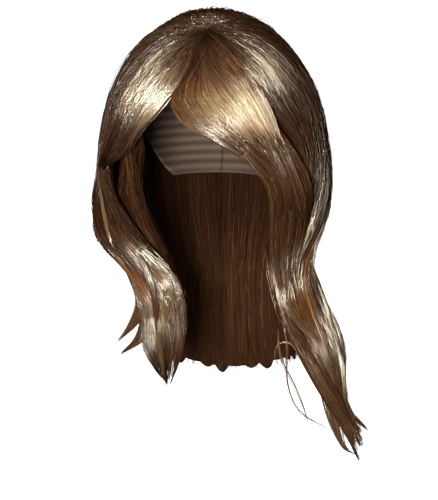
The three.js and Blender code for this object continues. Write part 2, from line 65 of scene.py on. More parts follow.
def direction(turn, rise):
    """A unit vector from the middle of the scene towards a place given by two angles."""
    return np.array([math.sin(turn) * math.cos(rise), -math.cos(turn) * math.cos(rise), math.sin(rise)])


def aim(thing, place, target):
    """Puts a camera or lamp at a place and turns it to a target."""
    thing.location = place
    thing.rotation_mode = "QUATERNION"
    line = Vector([float(value) for value in place - target])
    thing.rotation_quaternion = line.to_track_quat("Z", "Y")


camera = bpy.data.objects.new("camera", bpy.data.cameras.new("camera"))
bpy.context.scene.collection.objects.link(camera)
focal_pixels = PIXELS_PER_METRE * CAMERA_DISTANCE
camera.data.lens = camera.data.sensor_width * focal_pixels / PICTURE_HEIGHT
aim(camera, CAMERA_TARGET + CAMERA_DISTANCE * direction(CAMERA_TURN, CAMERA_RISE), CAMERA_TARGET)
bpy.context.scene.camera = camera
print("lens in millimetres:", round(camera.data.lens, 1))

# %% [markdown]
# ## Sizes
# These are the sizes of the real wig in metres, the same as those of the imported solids. The cap is
# measured inside. The lofts say how far the hair stands off it.

# %% Sizes of the cap and the hair
CAP_HALF_WIDTH = 0.076
CAP_HALF_LENGTH = 0.094
CAP_HEIGHT = 0.088
CAP_WALL = 0.0018
CROWN_LOFT = 0.0182
SIDE_LOFT = 0.0372
FRONT_LOFT = 0.0122
BACK_LOFT = 0.0262
DOME_TUCK = 0.0035
WIDEST_BELOW = 0.042
HANG_LENGTH = 0.291
ROOT_DEPTH = 0.027
BANGS_THICKNESS = 0.008
SIDE_THICKNESS = 0.014
UNDER_THICKNESS = 0.009
BACK_THICKNESS = 0.014
TIP_THICKNESS = 0.0024
GROOVE_DEPTH = 0.0026
CLEARANCE = 0.0003

HALF_WIDTH = CAP_HALF_WIDTH + CAP_WALL + SIDE_LOFT
DOME_HALF_WIDTH = HALF_WIDTH - DOME_TUCK
FRONT_REACH = CAP_HALF_LENGTH + CAP_WALL + FRONT_LOFT
BACK_REACH = CAP_HALF_LENGTH + CAP_WALL + BACK_LOFT
WIDEST_Z = -CAP_HEIGHT - WIDEST_BELOW
CROWN_TOP = CAP_WALL + CROWN_LOFT
DOME_DROP = CROWN_TOP - WIDEST_Z

# Shares of a panel's length and thickness, as in the solids
ROOT_END = 0.3
TAPER_START = 0.72
EDGE_SHARE = 0.5
GROOVE_SHARE = 0.4
GROOVE_RUN = 0.12
DOME_BLEND = 0.25

# %% [markdown]
# ## Hairlines
# A stylist thinks of hair as lines that start at the whorl and fall in a chosen way. Each row below is
# one such line, and its points hold three numbers: side and depth, as shares of the half width and of
# the front or back reach, and fall, which is 0 at the crown, 1 at the widest line and 2 at the longest
# tip. A panel lies between its lines.

# %% Hairlines, with points of (side, depth, fall)
SHORT_SWEEP_LINES = [
    [
        (-0.01, -0.54, 0.15), (-0.10, -0.73, 0.33), (-0.19, -0.81, 0.44), (-0.30, -0.84, 0.55),
        (-0.43, -0.84, 0.66), (-0.53, -0.81, 0.74), (-0.61, -0.79, 0.83), (-0.72, -0.70, 0.91),
        (-0.82, -0.58, 0.98),
    ],
    [
        (-0.02, -0.53, 0.15), (-0.20, -0.66, 0.28), (-0.35, -0.74, 0.43), (-0.49, -0.76, 0.59),
        (-0.64, -0.73, 0.74), (-0.77, -0.62, 0.88), (-0.88, -0.48, 1.00),
    ],
    [
        (-0.02, -0.52, 0.14), (-0.34, -0.53, 0.22), (-0.55, -0.52, 0.35), (-0.72, -0.50, 0.52),
        (-0.83, -0.48, 0.73), (-0.90, -0.43, 0.90), (-0.94, -0.36, 1.02),
    ],
]

LONG_SWEEP_LINES = [
    [
        (0.00, -0.54, 0.15), (-0.10, -0.74, 0.34), (-0.20, -0.81, 0.45), (-0.26, -0.85, 0.55),
        (-0.23, -0.89, 0.61), (-0.15, -0.94, 0.68), (-0.01, -0.97, 0.74), (0.12, -0.98, 0.79),
        (0.27, -0.96, 0.86), (0.47, -0.88, 0.98), (0.62, -0.77, 1.08),
    ],
    [
        (0.01, -0.54, 0.15), (0.07, -0.74, 0.33), (0.19, -0.81, 0.45), (0.34, -0.85, 0.59),
        (0.47, -0.85, 0.74), (0.60, -0.81, 0.93), (0.71, -0.74, 1.12),
    ],
    [
        (0.02, -0.52, 0.14), (0.21, -0.65, 0.27), (0.40, -0.71, 0.41), (0.53, -0.74, 0.59),
        (0.61, -0.76, 0.75), (0.71, -0.74, 0.91), (0.79, -0.69, 1.03), (0.80, -0.66, 1.15),
    ],
]

RIGHT_SIDE_LINES = [
    [
        (-0.02, -0.51, 0.14), (-0.35, -0.54, 0.22), (-0.57, -0.53, 0.36), (-0.74, -0.51, 0.54),
        (-0.85, -0.48, 0.75), (-0.91, -0.42, 0.93), (-0.88, -0.45, 1.05), (-0.76, -0.54, 1.13),
        (-0.60, -0.63, 1.20), (-0.40, -0.69, 1.28), (-0.21, -0.72, 1.36), (-0.16, -0.74, 1.48),
        (-0.20, -0.71, 1.60), (-0.31, -0.63, 1.71),
    ],
    [
        (-0.03, -0.50, 0.13), (-0.43, -0.38, 0.17), (-0.74, -0.27, 0.36), (-0.91, -0.21, 0.64),
        (-0.95, -0.18, 1.00), (-0.99, -0.27, 1.13), (-0.86, -0.42, 1.23), (-0.64, -0.54, 1.31),
        (-0.46, -0.60, 1.41), (-0.39, -0.62, 1.52), (-0.37, -0.60, 1.62), (-0.34, -0.60, 1.72),
    ],
    [
        (-0.02, -0.49, 0.13), (-0.47, -0.22, 0.14), (-0.79, -0.02, 0.36), (-0.95, 0.03, 0.66),
        (-0.96, 0.03, 1.00), (-1.01, -0.02, 1.15), (-1.03, -0.06, 1.23), (-0.88, -0.16, 1.31),
        (-0.67, -0.29, 1.38), (-0.58, -0.38, 1.47), (-0.58, -0.46, 1.57), (-0.47, -0.52, 1.66),
        (-0.33, -0.57, 1.72),
    ],
]

LEFT_SIDE_LINES = [
    [
        (0.02, -0.51, 0.14), (0.21, -0.66, 0.28), (0.39, -0.72, 0.42), (0.55, -0.73, 0.58),
        (0.69, -0.67, 0.74), (0.75, -0.63, 0.88), (0.76, -0.63, 1.02), (0.69, -0.68, 1.10),
        (0.60, -0.65, 1.16), (0.54, -0.57, 1.23), (0.54, -0.53, 1.31), (0.59, -0.55, 1.40),
        (0.65, -0.58, 1.48), (0.75, -0.61, 1.56), (0.90, -0.60, 1.67), (1.05, -0.55, 1.78),
        (1.18, -0.46, 1.88), (1.31, -0.40, 2.00),
    ],
    [
        (0.03, -0.50, 0.13), (0.42, -0.44, 0.20), (0.70, -0.38, 0.38), (0.87, -0.34, 0.64),
        (0.93, -0.33, 1.00), (0.90, -0.36, 1.14), (0.80, -0.37, 1.24), (0.76, -0.36, 1.33),
        (0.82, -0.39, 1.43), (0.95, -0.43, 1.54), (1.06, -0.46, 1.66), (1.15, -0.44, 1.78),
        (1.32, -0.38, 1.94),
    ],
    [
        (0.02, -0.49, 0.13), (0.47, -0.22, 0.14), (0.79, -0.04, 0.36), (0.95, 0.01, 0.66),
        (1.00, 0.02, 1.00), (0.98, -0.01, 1.16), (0.92, -0.04, 1.24), (0.86, -0.08, 1.33),
        (0.93, -0.12, 1.42), (1.06, -0.17, 1.50), (1.15, -0.22, 1.60), (1.15, -0.27, 1.70),
        (1.17, -0.31, 1.79), (1.40, -0.34, 1.88),
    ],
]

RIGHT_UNDER_LINES = [
    [
        (-0.58, -0.62, 0.62), (-0.62, -0.68, 0.82), (-0.58, -0.70, 1.00), (-0.50, -0.68, 1.12),
        (-0.41, -0.64, 1.21), (-0.29, -0.62, 1.29), (-0.22, -0.62, 1.38),
    ],
    [
        (-0.74, -0.20, 0.66), (-0.80, -0.24, 1.00), (-0.74, -0.30, 1.16), (-0.58, -0.36, 1.28),
        (-0.46, -0.42, 1.40),
    ],
]

LEFT_UNDER_LINES = [
    [
        (0.62, -0.56, 0.62), (0.66, -0.58, 0.90), (0.61, -0.60, 1.10), (0.53, -0.54, 1.21),
        (0.50, -0.46, 1.31), (0.55, -0.44, 1.42),
    ],
    [
        (0.74, -0.16, 0.66), (0.80, -0.16, 1.00), (0.76, -0.16, 1.18), (0.68, -0.18, 1.32),
        (0.70, -0.20, 1.46),
    ],
]

BACK_LINES = [
    [
        (-0.02, -0.49, 0.13), (-0.49, -0.26, 0.16), (-0.80, -0.08, 0.38), (-0.95, -0.03, 0.68),
        (-0.99, -0.02, 1.00), (-0.96, 0.03, 1.16), (-0.80, 0.10, 1.30), (-0.64, 0.16, 1.42),
        (-0.56, 0.24, 1.54), (-0.50, 0.32, 1.68),
    ],
    [
        (-0.01, -0.48, 0.12), (-0.34, 0.14, 0.08), (-0.60, 0.50, 0.30), (-0.72, 0.62, 0.66),
        (-0.74, 0.66, 1.00), (-0.68, 0.64, 1.18), (-0.54, 0.62, 1.36), (-0.46, 0.68, 1.54),
        (-0.42, 0.78, 1.72), (-0.44, 0.88, 1.82),
    ],
    [
        (0.00, -0.48, 0.12), (0.00, 0.24, 0.03), (0.00, 0.68, 0.26), (0.00, 0.92, 0.62),
        (0.00, 1.00, 1.00), (0.00, 0.94, 1.20), (0.01, 0.82, 1.40), (0.02, 0.86, 1.60),
        (0.03, 0.97, 1.78), (0.03, 1.08, 1.88),
    ],
    [
        (0.01, -0.48, 0.12), (0.34, 0.14, 0.08), (0.60, 0.50, 0.30), (0.72, 0.62, 0.66),
        (0.74, 0.66, 1.00), (0.68, 0.64, 1.18), (0.56, 0.62, 1.36), (0.52, 0.68, 1.54),
        (0.52, 0.78, 1.72), (0.56, 0.88, 1.82),
    ],
    [
        (0.02, -0.49, 0.13), (0.49, -0.26, 0.16), (0.80, -0.10, 0.38), (0.95, -0.05, 0.68),
        (0.99, -0.04, 1.00), (0.96, 0.02, 1.16), (0.84, 0.09, 1.30), (0.78, 0.14, 1.42),
        (0.76, 0.22, 1.54), (0.78, 0.30, 1.70),
    ],
]

RIGHT_FLICK_LINES = [
    [
        (-0.84, -0.18, 1.29), (-0.66, -0.31, 1.38), (-0.60, -0.36, 1.45), (-0.69, -0.32, 1.53),
        (-0.86, -0.23, 1.61),
    ],
    [
        (-0.70, -0.32, 1.35), (-0.57, -0.42, 1.45), (-0.55, -0.43, 1.51), (-0.63, -0.38, 1.58),
        (-0.83, -0.28, 1.65),
    ],
]

# %% [markdown]
# ## From a hairline to a surface
# A smooth curve goes through the points of each hairline. Points at the same share of their length on
# the lines of a panel are then joined across, and that gives the outer surface of the hair. Above the
# widest line it is pulled onto the dome of the hair, so that neighbouring panels meet in one skin. All
# of it is worked out for whole arrays at once.

# %% Curves through points
TINY = 1e-9
STEPS_PER_POINT = 40


def smooth_share(value, start, end):
    """0 before the start, 1 after the end, and a soft step between them."""
    share = np.clip((value - start) / (end - start), 0, 1)
    return share * share * (3 - 2 * share)


def blend(first, second, share):
    """A value between two others, at a share of the way."""
    return first + (second - first) * share


def unit(vectors):
    """Vectors of length 1 with the directions of the given ones."""
    return vectors / np.maximum(np.linalg.norm(vectors, axis=-1, keepdims=True), TINY)


def smooth_curve(points, shares):
    """Centripetal curves through points, an array of steps by curves by 3, at shares of the way along."""
    ends = np.concatenate([[2 * points[0] - points[1]], points, [2 * points[-1] - points[-2]]])
    place = np.asarray(shares) * (len(points) - 1)
    index = np.minimum(place.astype(int), len(points) - 2)
    share = (place - index)[:, None, None]
    before, start, end, after = (ends[index + step] for step in range(4))

    def gap(first, second):
        return np.maximum(np.linalg.norm(second - first, axis=-1, keepdims=True), TINY) ** 0.5

    lead, middle, tail = gap(before, start), gap(start, end), gap(end, after)
    leave = ((start - before) / lead - (end - before) / (lead + middle) + (end - start) / middle) * middle
    arrive = ((end - start) / middle - (after - start) / (middle + tail) + (after - end) / tail) * middle
    bend = 3 * (end - start) - 2 * leave - arrive
    twist = 2 * (start - end) + leave + arrive
    return start + share * (leave + share * (bend + share * twist))


# %% Points of a hairline, evenly spaced along it
def placed(rows):
    """Turns rows of shares into places in metres."""
    side, depth, fall = np.array(rows).T
    reach = np.where(depth < 0, FRONT_REACH, BACK_REACH)
    hang = np.where(fall < 1, CROWN_TOP - fall * DOME_DROP, WIDEST_Z - (fall - 1) * HANG_LENGTH)
    return np.stack([side * HALF_WIDTH, depth * reach, hang], axis=-1)


def even_line(rows, count):
    """Points at even steps along the curve of a hairline."""
    fine = smooth_curve(placed(rows)[:, None], np.linspace(0, 1, STEPS_PER_POINT * len(rows)))[:, 0]
    run = np.concatenate([[0], np.cumsum(np.linalg.norm(np.diff(fine, axis=0), axis=1))])
    wanted = np.linspace(0, run[-1], count)
    return np.stack([np.interp(wanted, run, fine[:, axis]) for axis in range(3)], axis=-1)


# %% The dome of the hair
def dome_shares(points):
    """Points as shares of the half sizes of the dome, and the reach of each."""
    side, depth, height = np.moveaxis(points, -1, 0)
    reach = np.where(depth < 0, FRONT_REACH, BACK_REACH)
    height = np.maximum(0, height - WIDEST_Z)
    return np.stack([side / DOME_HALF_WIDTH, depth / reach, height / DOME_DROP], axis=-1), reach


def on_dome(points):
    """Pulls points that lie above the widest line onto the dome."""
    shares, _ = dome_shares(points)
    centre = np.array([0, 0, WIDEST_Z])
    size = np.maximum(np.linalg.norm(shares, axis=-1, keepdims=True), TINY)
    on_surface = (points - centre) / size + centre
    height = points[..., 2:] - WIDEST_Z
    return blend(points, on_surface, smooth_share(height, 0, DOME_BLEND * DOME_DROP))


def outward(points):
    """The direction away from the head at each point."""
    shares, reach = dome_shares(points)
    half_width = np.full_like(reach, DOME_HALF_WIDTH)
    half_height = np.full_like(reach, DOME_DROP)
    return unit(shares / np.stack([half_width, reach, half_height], axis=-1))


def off_head(points, gap):
    """Moves points that would lie in the hollow for the head out onto the cap."""
    centre = np.array([0, 0, -CAP_HEIGHT])
    half = np.array([CAP_HALF_WIDTH, CAP_HALF_LENGTH, CAP_HEIGHT]) + CAP_WALL + gap
    size = np.linalg.norm((points - centre) / half, axis=-1, keepdims=True)
    return np.where(size < 1, (points - centre) / np.maximum(size, TINY) + centre, points)


# %% The outer surface of a panel, as a grid of points
ACROSS_STEPS = 48
ALONG_STEPS = 96


def panel_surface(lines, swells=()):
    """The outer surface between hairlines, pushed to the front by its swells."""
    stations = np.stack([even_line(rows, ALONG_STEPS + 1) for rows in lines])
    points = on_dome(smooth_curve(stations, np.linspace(0, 1, ACROSS_STEPS + 1)))
    along = np.linspace(0, 1, ALONG_STEPS + 1)
    for middle, spread, height in swells:
        points[..., 1] -= height * np.exp(-((along - middle) / spread) ** 2)
    return {"points": points, "outward": outward(points)}


def at(surface, across, along, what="points"):
    """Reads the grid of a surface at any shares across and along."""
    column = np.clip(across, 0, 1) * ACROSS_STEPS
    row = np.clip(along, 0, 1) * ALONG_STEPS
    left = np.minimum(column.astype(int), ACROSS_STEPS - 1)
    low = np.minimum(row.astype(int), ALONG_STEPS - 1)
    grid = surface[what]
    near = blend(grid[left, low], grid[left, low + 1], (row - low)[..., None])
    far = blend(grid[left + 1, low], grid[left + 1, low + 1], (row - low)[..., None])
    return blend(near, far, (column - left)[..., None])


# %% How thick a panel is, and where its locks end
TUCK_FULL_TO = 0.1
TUCK_END = 0.45


def lock_ridge(across, locks):
    """0 in the groove between two locks and 1 on the ridge of a lock."""
    return np.abs(np.sin(math.pi * across * locks))


def lock_end(across, panel):
    """The share along at which a panel ends: far on the ridge of a lock and near in its grooves."""
    lock = np.minimum((across * panel["locks"]).astype(int), panel["locks"] - 1)
    ridge_end = 1 - panel["ragged"] * (2 * lock % 3) / 2
    reach = blend(GROOVE_RUN, 1, lock_ridge(across, panel["locks"]))
    return panel["split"] + reach * (ridge_end - panel["split"])


def panel_depth(across, along, even, panel):
    """How thick a panel is: deep at the root, thinner at its edges and thinnest at the tip."""
    edge = blend(EDGE_SHARE, 1, np.sqrt(np.sin(math.pi * np.clip(across, 0, 1))))
    body = blend(ROOT_DEPTH, panel["thickness"] * edge, smooth_share(along, 0, ROOT_END))
    return blend(body, TIP_THICKNESS, smooth_share(even, TAPER_START, 1))


def groove_depth(across, depth, panel):
    """How deep the groove between two locks lies under their ridges."""
    return np.minimum(GROOVE_DEPTH, GROOVE_SHARE * depth) * (1 - lock_ridge(across, panel["locks"]))


def tuck_depth(along, panel):
    """How much deeper an under layer starts than the hair that covers it."""
    return panel["tucked"] * (1 - smooth_share(along, TUCK_FULL_TO, TUCK_END))


# %% [markdown]
# ## Hair colour
# Every piece of hair carries two values on its points. Tone runs from dark brown at the roots to pale
# blonde, and warmth adds the orange brown of some fibres. One material reads both, so all the pieces
# share one family of colours. Most of the gloss of synthetic fibre needs no paint: a thin round strand
# shines along its length by itself. The tone carries painted light as well: pale, cooler places on some
# panels are painted highlights where the sheen falls, and the cores, the inside of the hair and the tips
# of the short sweep are darkened as painted shade.

# %% Helper for nodes
def add_node(tree, kind, **settings):
    """A new node with its settings."""
    node = tree.nodes.new(kind)
    for name, value in settings.items():
        setattr(node, name, value)
    return node


def new_material(name):
    """A material with its tree of nodes and its main shader."""
    material = bpy.data.materials.new(name)
    material.use_nodes = True
    tree = material.node_tree
    return material, tree, tree.nodes["Principled BSDF"]


# %% The hair material
TONE_STOPS = [
    (0.00, (0.014, 0.006, 0.003)),
    (0.25, (0.038, 0.019, 0.009)),
    (0.50, (0.097, 0.056, 0.026)),
    (0.75, (0.210, 0.135, 0.062)),
    (1.00, (0.430, 0.330, 0.180)),
]
WARM_TINT = (1.35, 0.86, 0.50)
FIBRE_SHEEN_COLOUR = (1.0, 0.91, 0.72, 1)
FIBRE_IOR = 1.9
FIBRE_BUMP = 0.6
FIBRE_BUMP_DEPTH = 0.0006
STREAK_STRETCH = 0.9
STREAK_DETAIL = 3
STREAK_TONE = 0.28


def hair_material(name, roughness, gloss, streaks):
    """Hair of the tones and the warmth that its points carry, with fine streaks along the fibres."""
    material, tree, shader = new_material(name)
    link = tree.links.new
    tone = add_node(tree, "ShaderNodeAttribute", attribute_name="tone")
    warmth = add_node(tree, "ShaderNodeAttribute", attribute_name="warmth")
    hair = add_node(tree, "ShaderNodeAttribute", attribute_name="hair")
    stretch = add_node(tree, "ShaderNodeMapping")
    stretch.inputs["Scale"].default_value = (streaks, STREAK_STRETCH, 1)
    noise = add_node(tree, "ShaderNodeTexNoise")
    noise.inputs["Scale"].default_value = 1
    noise.inputs["Detail"].default_value = STREAK_DETAIL
    spread = add_node(tree, "ShaderNodeMapRange")
    spread.inputs["To Min"].default_value = -STREAK_TONE
    spread.inputs["To Max"].default_value = STREAK_TONE
    total = add_node(tree, "ShaderNodeMath", operation="ADD")
    ramp = add_node(tree, "ShaderNodeValToRGB")
    while len(ramp.color_ramp.elements) < len(TONE_STOPS):
        ramp.color_ramp.elements.new(0.5)
    for element, (place, colour) in zip(ramp.color_ramp.elements, TONE_STOPS):
        element.position = place
        element.color = (*colour, 1)
    warm = add_node(tree, "ShaderNodeMix", data_type="RGBA", blend_type="MULTIPLY")
    warm.inputs["B"].default_value = (*WARM_TINT, 1)
    bump = add_node(tree, "ShaderNodeBump")
    bump.inputs["Strength"].default_value = FIBRE_BUMP
    bump.inputs["Distance"].default_value = FIBRE_BUMP_DEPTH
    link(hair.outputs["Vector"], stretch.inputs["Vector"])
    link(stretch.outputs["Vector"], noise.inputs["Vector"])
    link(noise.outputs["Fac"], spread.inputs["Value"])
    link(tone.outputs["Fac"], total.inputs[0])
    link(spread.outputs["Result"], total.inputs[1])
    link(total.outputs["Value"], ramp.inputs["Fac"])
    link(warmth.outputs["Fac"], warm.inputs["Factor"])
    link(ramp.outputs["Color"], warm.inputs["A"])
    link(warm.outputs["Result"], shader.inputs["Base Color"])
    link(noise.outputs["Fac"], bump.inputs["Height"])
    link(bump.outputs["Normal"], shader.inputs["Normal"])
    shader.inputs["Roughness"].default_value = roughness
    shader.inputs["IOR"].default_value = FIBRE_IOR
    shader.inputs["Specular IOR Level"].default_value = gloss
    shader.inputs["Specular Tint"].default_value = FIBRE_SHEEN_COLOUR
    return material


# %% Four finishes of hair
core_material = hair_material("hair_core", roughness=0.75, gloss=0.0, streaks=0.8)
inner_material = hair_material("hair_inside", roughness=0.85, gloss=0.0, streaks=2.5)
glossy_material = hair_material("hair_pale_strands", roughness=0.28, gloss=1.0, streaks=2.5)
soft_material = hair_material("hair_soft_strands", roughness=0.30, gloss=0.18, streaks=2.5)
strand_materials = (glossy_material, soft_material)
for material in (core_material, inner_material, *strand_materials):
    print("made the hair material", material.name)

# %% [markdown]
# ## The core of a panel
# A core is a slab of hair with a ridge down each lock and ragged tips. A grid is made flat, extruded
# once so that it has two sides, and then every point is moved to its place: one side to the outer
# surface of the panel, the other to the inner surface. That keeps the mesh closed and gives each point
# its shares across and along for the colours.

# %% Put values on the points of a mesh
def give_values(mesh, tone, warmth, hair):
    """Puts the tone, the warmth and the place of the streaks on the points of a mesh."""
    for name, values in (("tone", tone), ("warmth", warmth)):
        flat = np.asarray(values, np.float32).ravel()
        mesh.attributes.new(name, "FLOAT", "POINT").data.foreach_set("value", flat)
    flat = np.asarray(hair, np.float32).ravel()
    mesh.attributes.new("hair", "FLOAT_VECTOR", "POINT").data.foreach_set("vector", flat)


def add_piece(name, mesh, materials, nodes=()):
    """Makes an object of a mesh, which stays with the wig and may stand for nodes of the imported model."""
    piece = bpy.data.objects.new(name, mesh)
    bpy.context.scene.collection.objects.link(piece)
    for material in materials:
        mesh.materials.append(material)
    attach(piece, "root")
    if nodes:
        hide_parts(*nodes)
    triangles = sum(len(face.vertices) - 2 for face in mesh.polygons)
    print(name, "has", triangles, "triangles")


# %% Tones of a panel
ROOT_FADE_START = 0.03


def spot(across, along, place):
    """A soft spot on a panel, of the fibres' colour and of painted highlights and shade: 1 in its middle,
    fading out over its spreads.
    """
    middle_across, middle_along, spread_across, spread_along = place
    aside = (across - middle_across) / spread_across
    ahead = (along - middle_along) / spread_along
    return np.exp(-(aside ** 2 + ahead ** 2))


def panel_tone(across, along, panel):
    """The tone and the warmth of a panel at shares across and along, with its painted highlights and shade.
    """
    root_share = smooth_share(along, ROOT_FADE_START, panel["root_fade"])
    tone = blend(panel["root_tone"], panel["tone"], root_share)
    tone = blend(tone, panel["tip_tone"], smooth_share(along, *panel["tip_fade"]))
    warmth = np.full_like(along, panel["warmth"])
    # Some of these add painted highlights and painted shade to the tone, as the panels below say.
    for *place, tone_and_painted_light, warmer in panel["spots"]:
        share = spot(across, along, place)
        tone = tone + tone_and_painted_light * share
        warmth = warmth + warmer * share
    return tone, np.clip(warmth, 0, 1)


# %% Grids with two sides
def two_sided_grid(columns, rows):
    """A flat grid with a second side, the shares of its points, and which points lie on the second side."""
    maker = bmesh.new()
    bmesh.ops.create_grid(maker, x_segments=columns, y_segments=rows, size=0.5)
    first_side = len(maker.verts)
    bmesh.ops.extrude_face_region(maker, geom=maker.faces[:])
    across, along, _ = np.array([vertex.co for vertex in maker.verts]).T + 0.5
    return maker, across, along, np.arange(len(across)) >= first_side


def moved_mesh(maker, points, name, merge_distance=None):
    """Moves the points of a grid to their places and turns its faces outwards."""
    for vertex, point in zip(maker.verts, points):
        vertex.co = point
    if merge_distance:
        bmesh.ops.remove_doubles(maker, verts=maker.verts[:], dist=merge_distance)
    bmesh.ops.recalc_face_normals(maker, faces=maker.faces[:])
    mesh = bpy.data.meshes.new(name)
    maker.to_mesh(mesh)
    maker.free()
    mesh.shade_smooth()
    return mesh


# %% Make a core
CORE_SINK = 0.0026
CORE_SINK_LIMIT = 0.4
CORE_STOP = 0.006
CORE_EDGE_SINK = 0.003
CORE_EDGE_WIDTH = 0.006
CORE_COLUMNS_PER_LOCK = 6
CORE_ROWS = 64
# The cores are darker than the strands over them, painted shade for the gaps between the strands. The inner
# side of a slab and the strands inside the back hair are darker still, painted shade of the inside.
CORE_PAINTED_SHADE = 0.12
INNER_PAINTED_SHADE = 0.2
STREAKS_PER_METRE = 1000
CORE_STREAK_RUN = 20
INNER_STREAK_SHIFT = 40


def panel_core(name, panel):
    """A closed slab of hair that lies a little under the strands, darkened as painted shade."""
    maker, across, even, is_inner = two_sided_grid(CORE_COLUMNS_PER_LOCK * panel["locks"], CORE_ROWS)
    split = panel["split"]
    past = np.maximum(0, (even - split) / (1 - split))
    along = np.minimum(even, split) + past * (lock_end(across, panel) - CORE_STOP - split)
    depth = panel_depth(across, along, even, panel)
    edge = np.minimum(across, 1 - across) * panel["width"]
    rounding = CORE_EDGE_SINK * smooth_share(edge, CORE_EDGE_WIDTH, 0)
    outer_sink = groove_depth(across, depth, panel) + CORE_SINK + rounding
    outer_sink = np.minimum(outer_sink, CORE_SINK_LIMIT * depth)
    sink = np.where(is_inner, depth, outer_sink) + tuck_depth(along, panel)
    surface = panel["surface"]
    points = at(surface, across, along) - sink[:, None] * at(surface, across, along, "outward")
    mesh = moved_mesh(maker, off_head(points, CLEARANCE), name)
    tone, warmth = panel_tone(across, along, panel)
    streaks = np.stack([across * panel["width"] * STREAKS_PER_METRE, along * CORE_STREAK_RUN,
                        is_inner * INNER_STREAK_SHIFT], axis=-1)
    # Painted shade: the core is darkened under its strands, and its inner side more.
    give_values(mesh, tone - CORE_PAINTED_SHADE - INNER_PAINTED_SHADE * is_inner, warmth, streaks)
    return mesh


# %% [markdown]
# ## Strands
# A strand is a thin round tube with three sides, which is enough at this size because its shading is
# smooth. Strands gather in clumps: those of a clump start apart and come together towards the tip, as
# real fibres do. Each keeps its own height over the core, its own wave and its own tone. The arrays
# hold all the strands of a panel at once.

# %% Tubes along many lines at once
SIDES = 3


def tubes(centres, normals, radii):
    """Closed tubes round many lines, whose centres, normals and radii go by strand and by step."""
    count, steps, _ = centres.shape
    tangent = unit(np.gradient(centres, axis=1))
    side = unit(np.cross(tangent, normals))
    up = np.cross(side, tangent)
    angles = 2 * math.pi * np.arange(SIDES) / SIDES
    ring = np.cos(angles)[:, None] * side[:, :, None] + np.sin(angles)[:, None] * up[:, :, None]
    points = centres[:, :, None] + radii[:, :, None, None] * ring
    first = (np.arange(count)[:, None, None] * steps + np.arange(steps - 1)[:, None]) * SIDES
    here = first + np.arange(SIDES)
    beside = first + (np.arange(SIDES) + 1) % SIDES
    quads = np.stack([here, here + SIDES, beside + SIDES, beside], axis=-1).reshape(-1, 4)
    root = np.arange(count)[:, None] * steps * SIDES + np.arange(SIDES)
    tip = root[:, ::-1] + (steps - 1) * SIDES
    return points.reshape(-1, 3), quads, np.concatenate([root, tip])


def mesh_of(name, points, quads, triangles):
    """A mesh from arrays of points, of faces with four corners and of faces with three."""
    mesh = bpy.data.meshes.new(name)
    mesh.vertices.add(len(points))
    mesh.vertices.foreach_set("co", points.astype(np.float32).ravel())
    corners = np.concatenate([quads.ravel(), triangles.ravel()])
    mesh.loops.add(len(corners))
    mesh.loops.foreach_set("vertex_index", corners.astype(np.int32))
    quad_starts = 4 * np.arange(len(quads))
    triangle_starts = quads.size + 3 * np.arange(len(triangles))
    starts = np.concatenate([quad_starts, triangle_starts])
    mesh.polygons.add(len(starts))
    mesh.polygons.foreach_set("loop_start", starts.astype(np.int32))
    mesh.update(calc_edges=True)
    mesh.shade_smooth()
    return mesh


# %% Gloss and values for all the faces of strands
GLOSSY_FROM = 0.24
WARM_FROM = 0.6


def soften_faces(mesh, tones, warmths):
    """Gives the dark and the warm stretches of strands the second material of their mesh, which is softer."""
    is_soft = (tones[:, :-1] < GLOSSY_FROM) | (warmths[:, :-1] > WARM_FROM)
    sides = np.repeat(is_soft.ravel(), SIDES)
    ends = np.zeros(2 * len(tones), bool)
    mesh.polygons.foreach_set("material_index", np.concatenate([sides, ends]).astype(np.int32))


def over_sides(values):
    """Repeats the values of the steps of strands for the points round each step."""
    return np.repeat(values.reshape(values.shape[0] * values.shape[1], -1), SIDES, axis=0)


# %% How the strands of a panel run, with waves in metres and slopes
INNER_START = (0.32, 0.45)
ROOT_CROWDING = 1.3
LAYER_CROWDING = 3
CLUMP_SPREAD = 0.75
PINCH_START = 0.35
SWAY_WAVES = (0.14, 0.3)
WANDER_WAVES = (0.1, 0.25)
WANDER_SLOPE = 0.04
STRAY_SLOPE = 0.16
STRAY_SHARE = 0.14
DRIFT_FADE = (0.02, 0.3)


def wave(along, length, wavelength, phase, slope):
    """A wave along each strand, as steep as its slope whatever its wavelength."""
    turns = along * (length / wavelength)[:, None] + phase[:, None]
    return (slope * wavelength / (2 * math.pi))[:, None] * np.sin(2 * math.pi * turns)


def strand_shares(panel, count, steps, random, is_inner):
    """The shares across and along of the strands of a panel, the clump of each, and which are stray."""
    clumps = panel["clumps"]
    length = panel["length"]
    clump = random.integers(0, clumps, count)
    middle = (np.arange(clumps) + 0.5 + 0.5 * random.uniform(-1, 1, clumps)) / clumps
    spread = random.normal(0, CLUMP_SPREAD / clumps, count)[:, None]
    if is_inner:
        start = random.uniform(*INNER_START, count)
    else:
        start = random.uniform(0, panel["start_spread"], count) ** ROOT_CROWDING
    stop = (1 - panel["ragged"] * random.uniform(0, 1, clumps))[clump]
    stop = stop - panel["layered"] * random.uniform(0, 1, count) ** LAYER_CROWDING
    along = start[:, None] + (stop - start)[:, None] * np.linspace(0, 1, steps)
    pinch = blend(1, panel["pinch"], smooth_share(along, PINCH_START, 1))
    sway_wave = random.uniform(*SWAY_WAVES, clumps)[clump]
    sway = wave(along, length, sway_wave, random.uniform(0, 1, clumps)[clump], 1)
    sway = sway * (panel["sway"] * random.normal(0, 1, clumps))[clump][:, None]
    stray = random.uniform(0, 1, count) < STRAY_SHARE
    wander_wave = random.uniform(*WANDER_WAVES, count)
    wander = wave(along, length, wander_wave, random.uniform(0, 1, count), 1)
    wander = wander * (np.where(stray, STRAY_SLOPE, WANDER_SLOPE) * random.normal(0, 1, count))[:, None]
    drift = (sway + wander) / panel["width"] * smooth_share(along, *DRIFT_FADE)
    across = np.abs(middle[clump][:, None] + spread * pinch + drift)
    return 1 - np.abs(1 - across), along, clump, stray


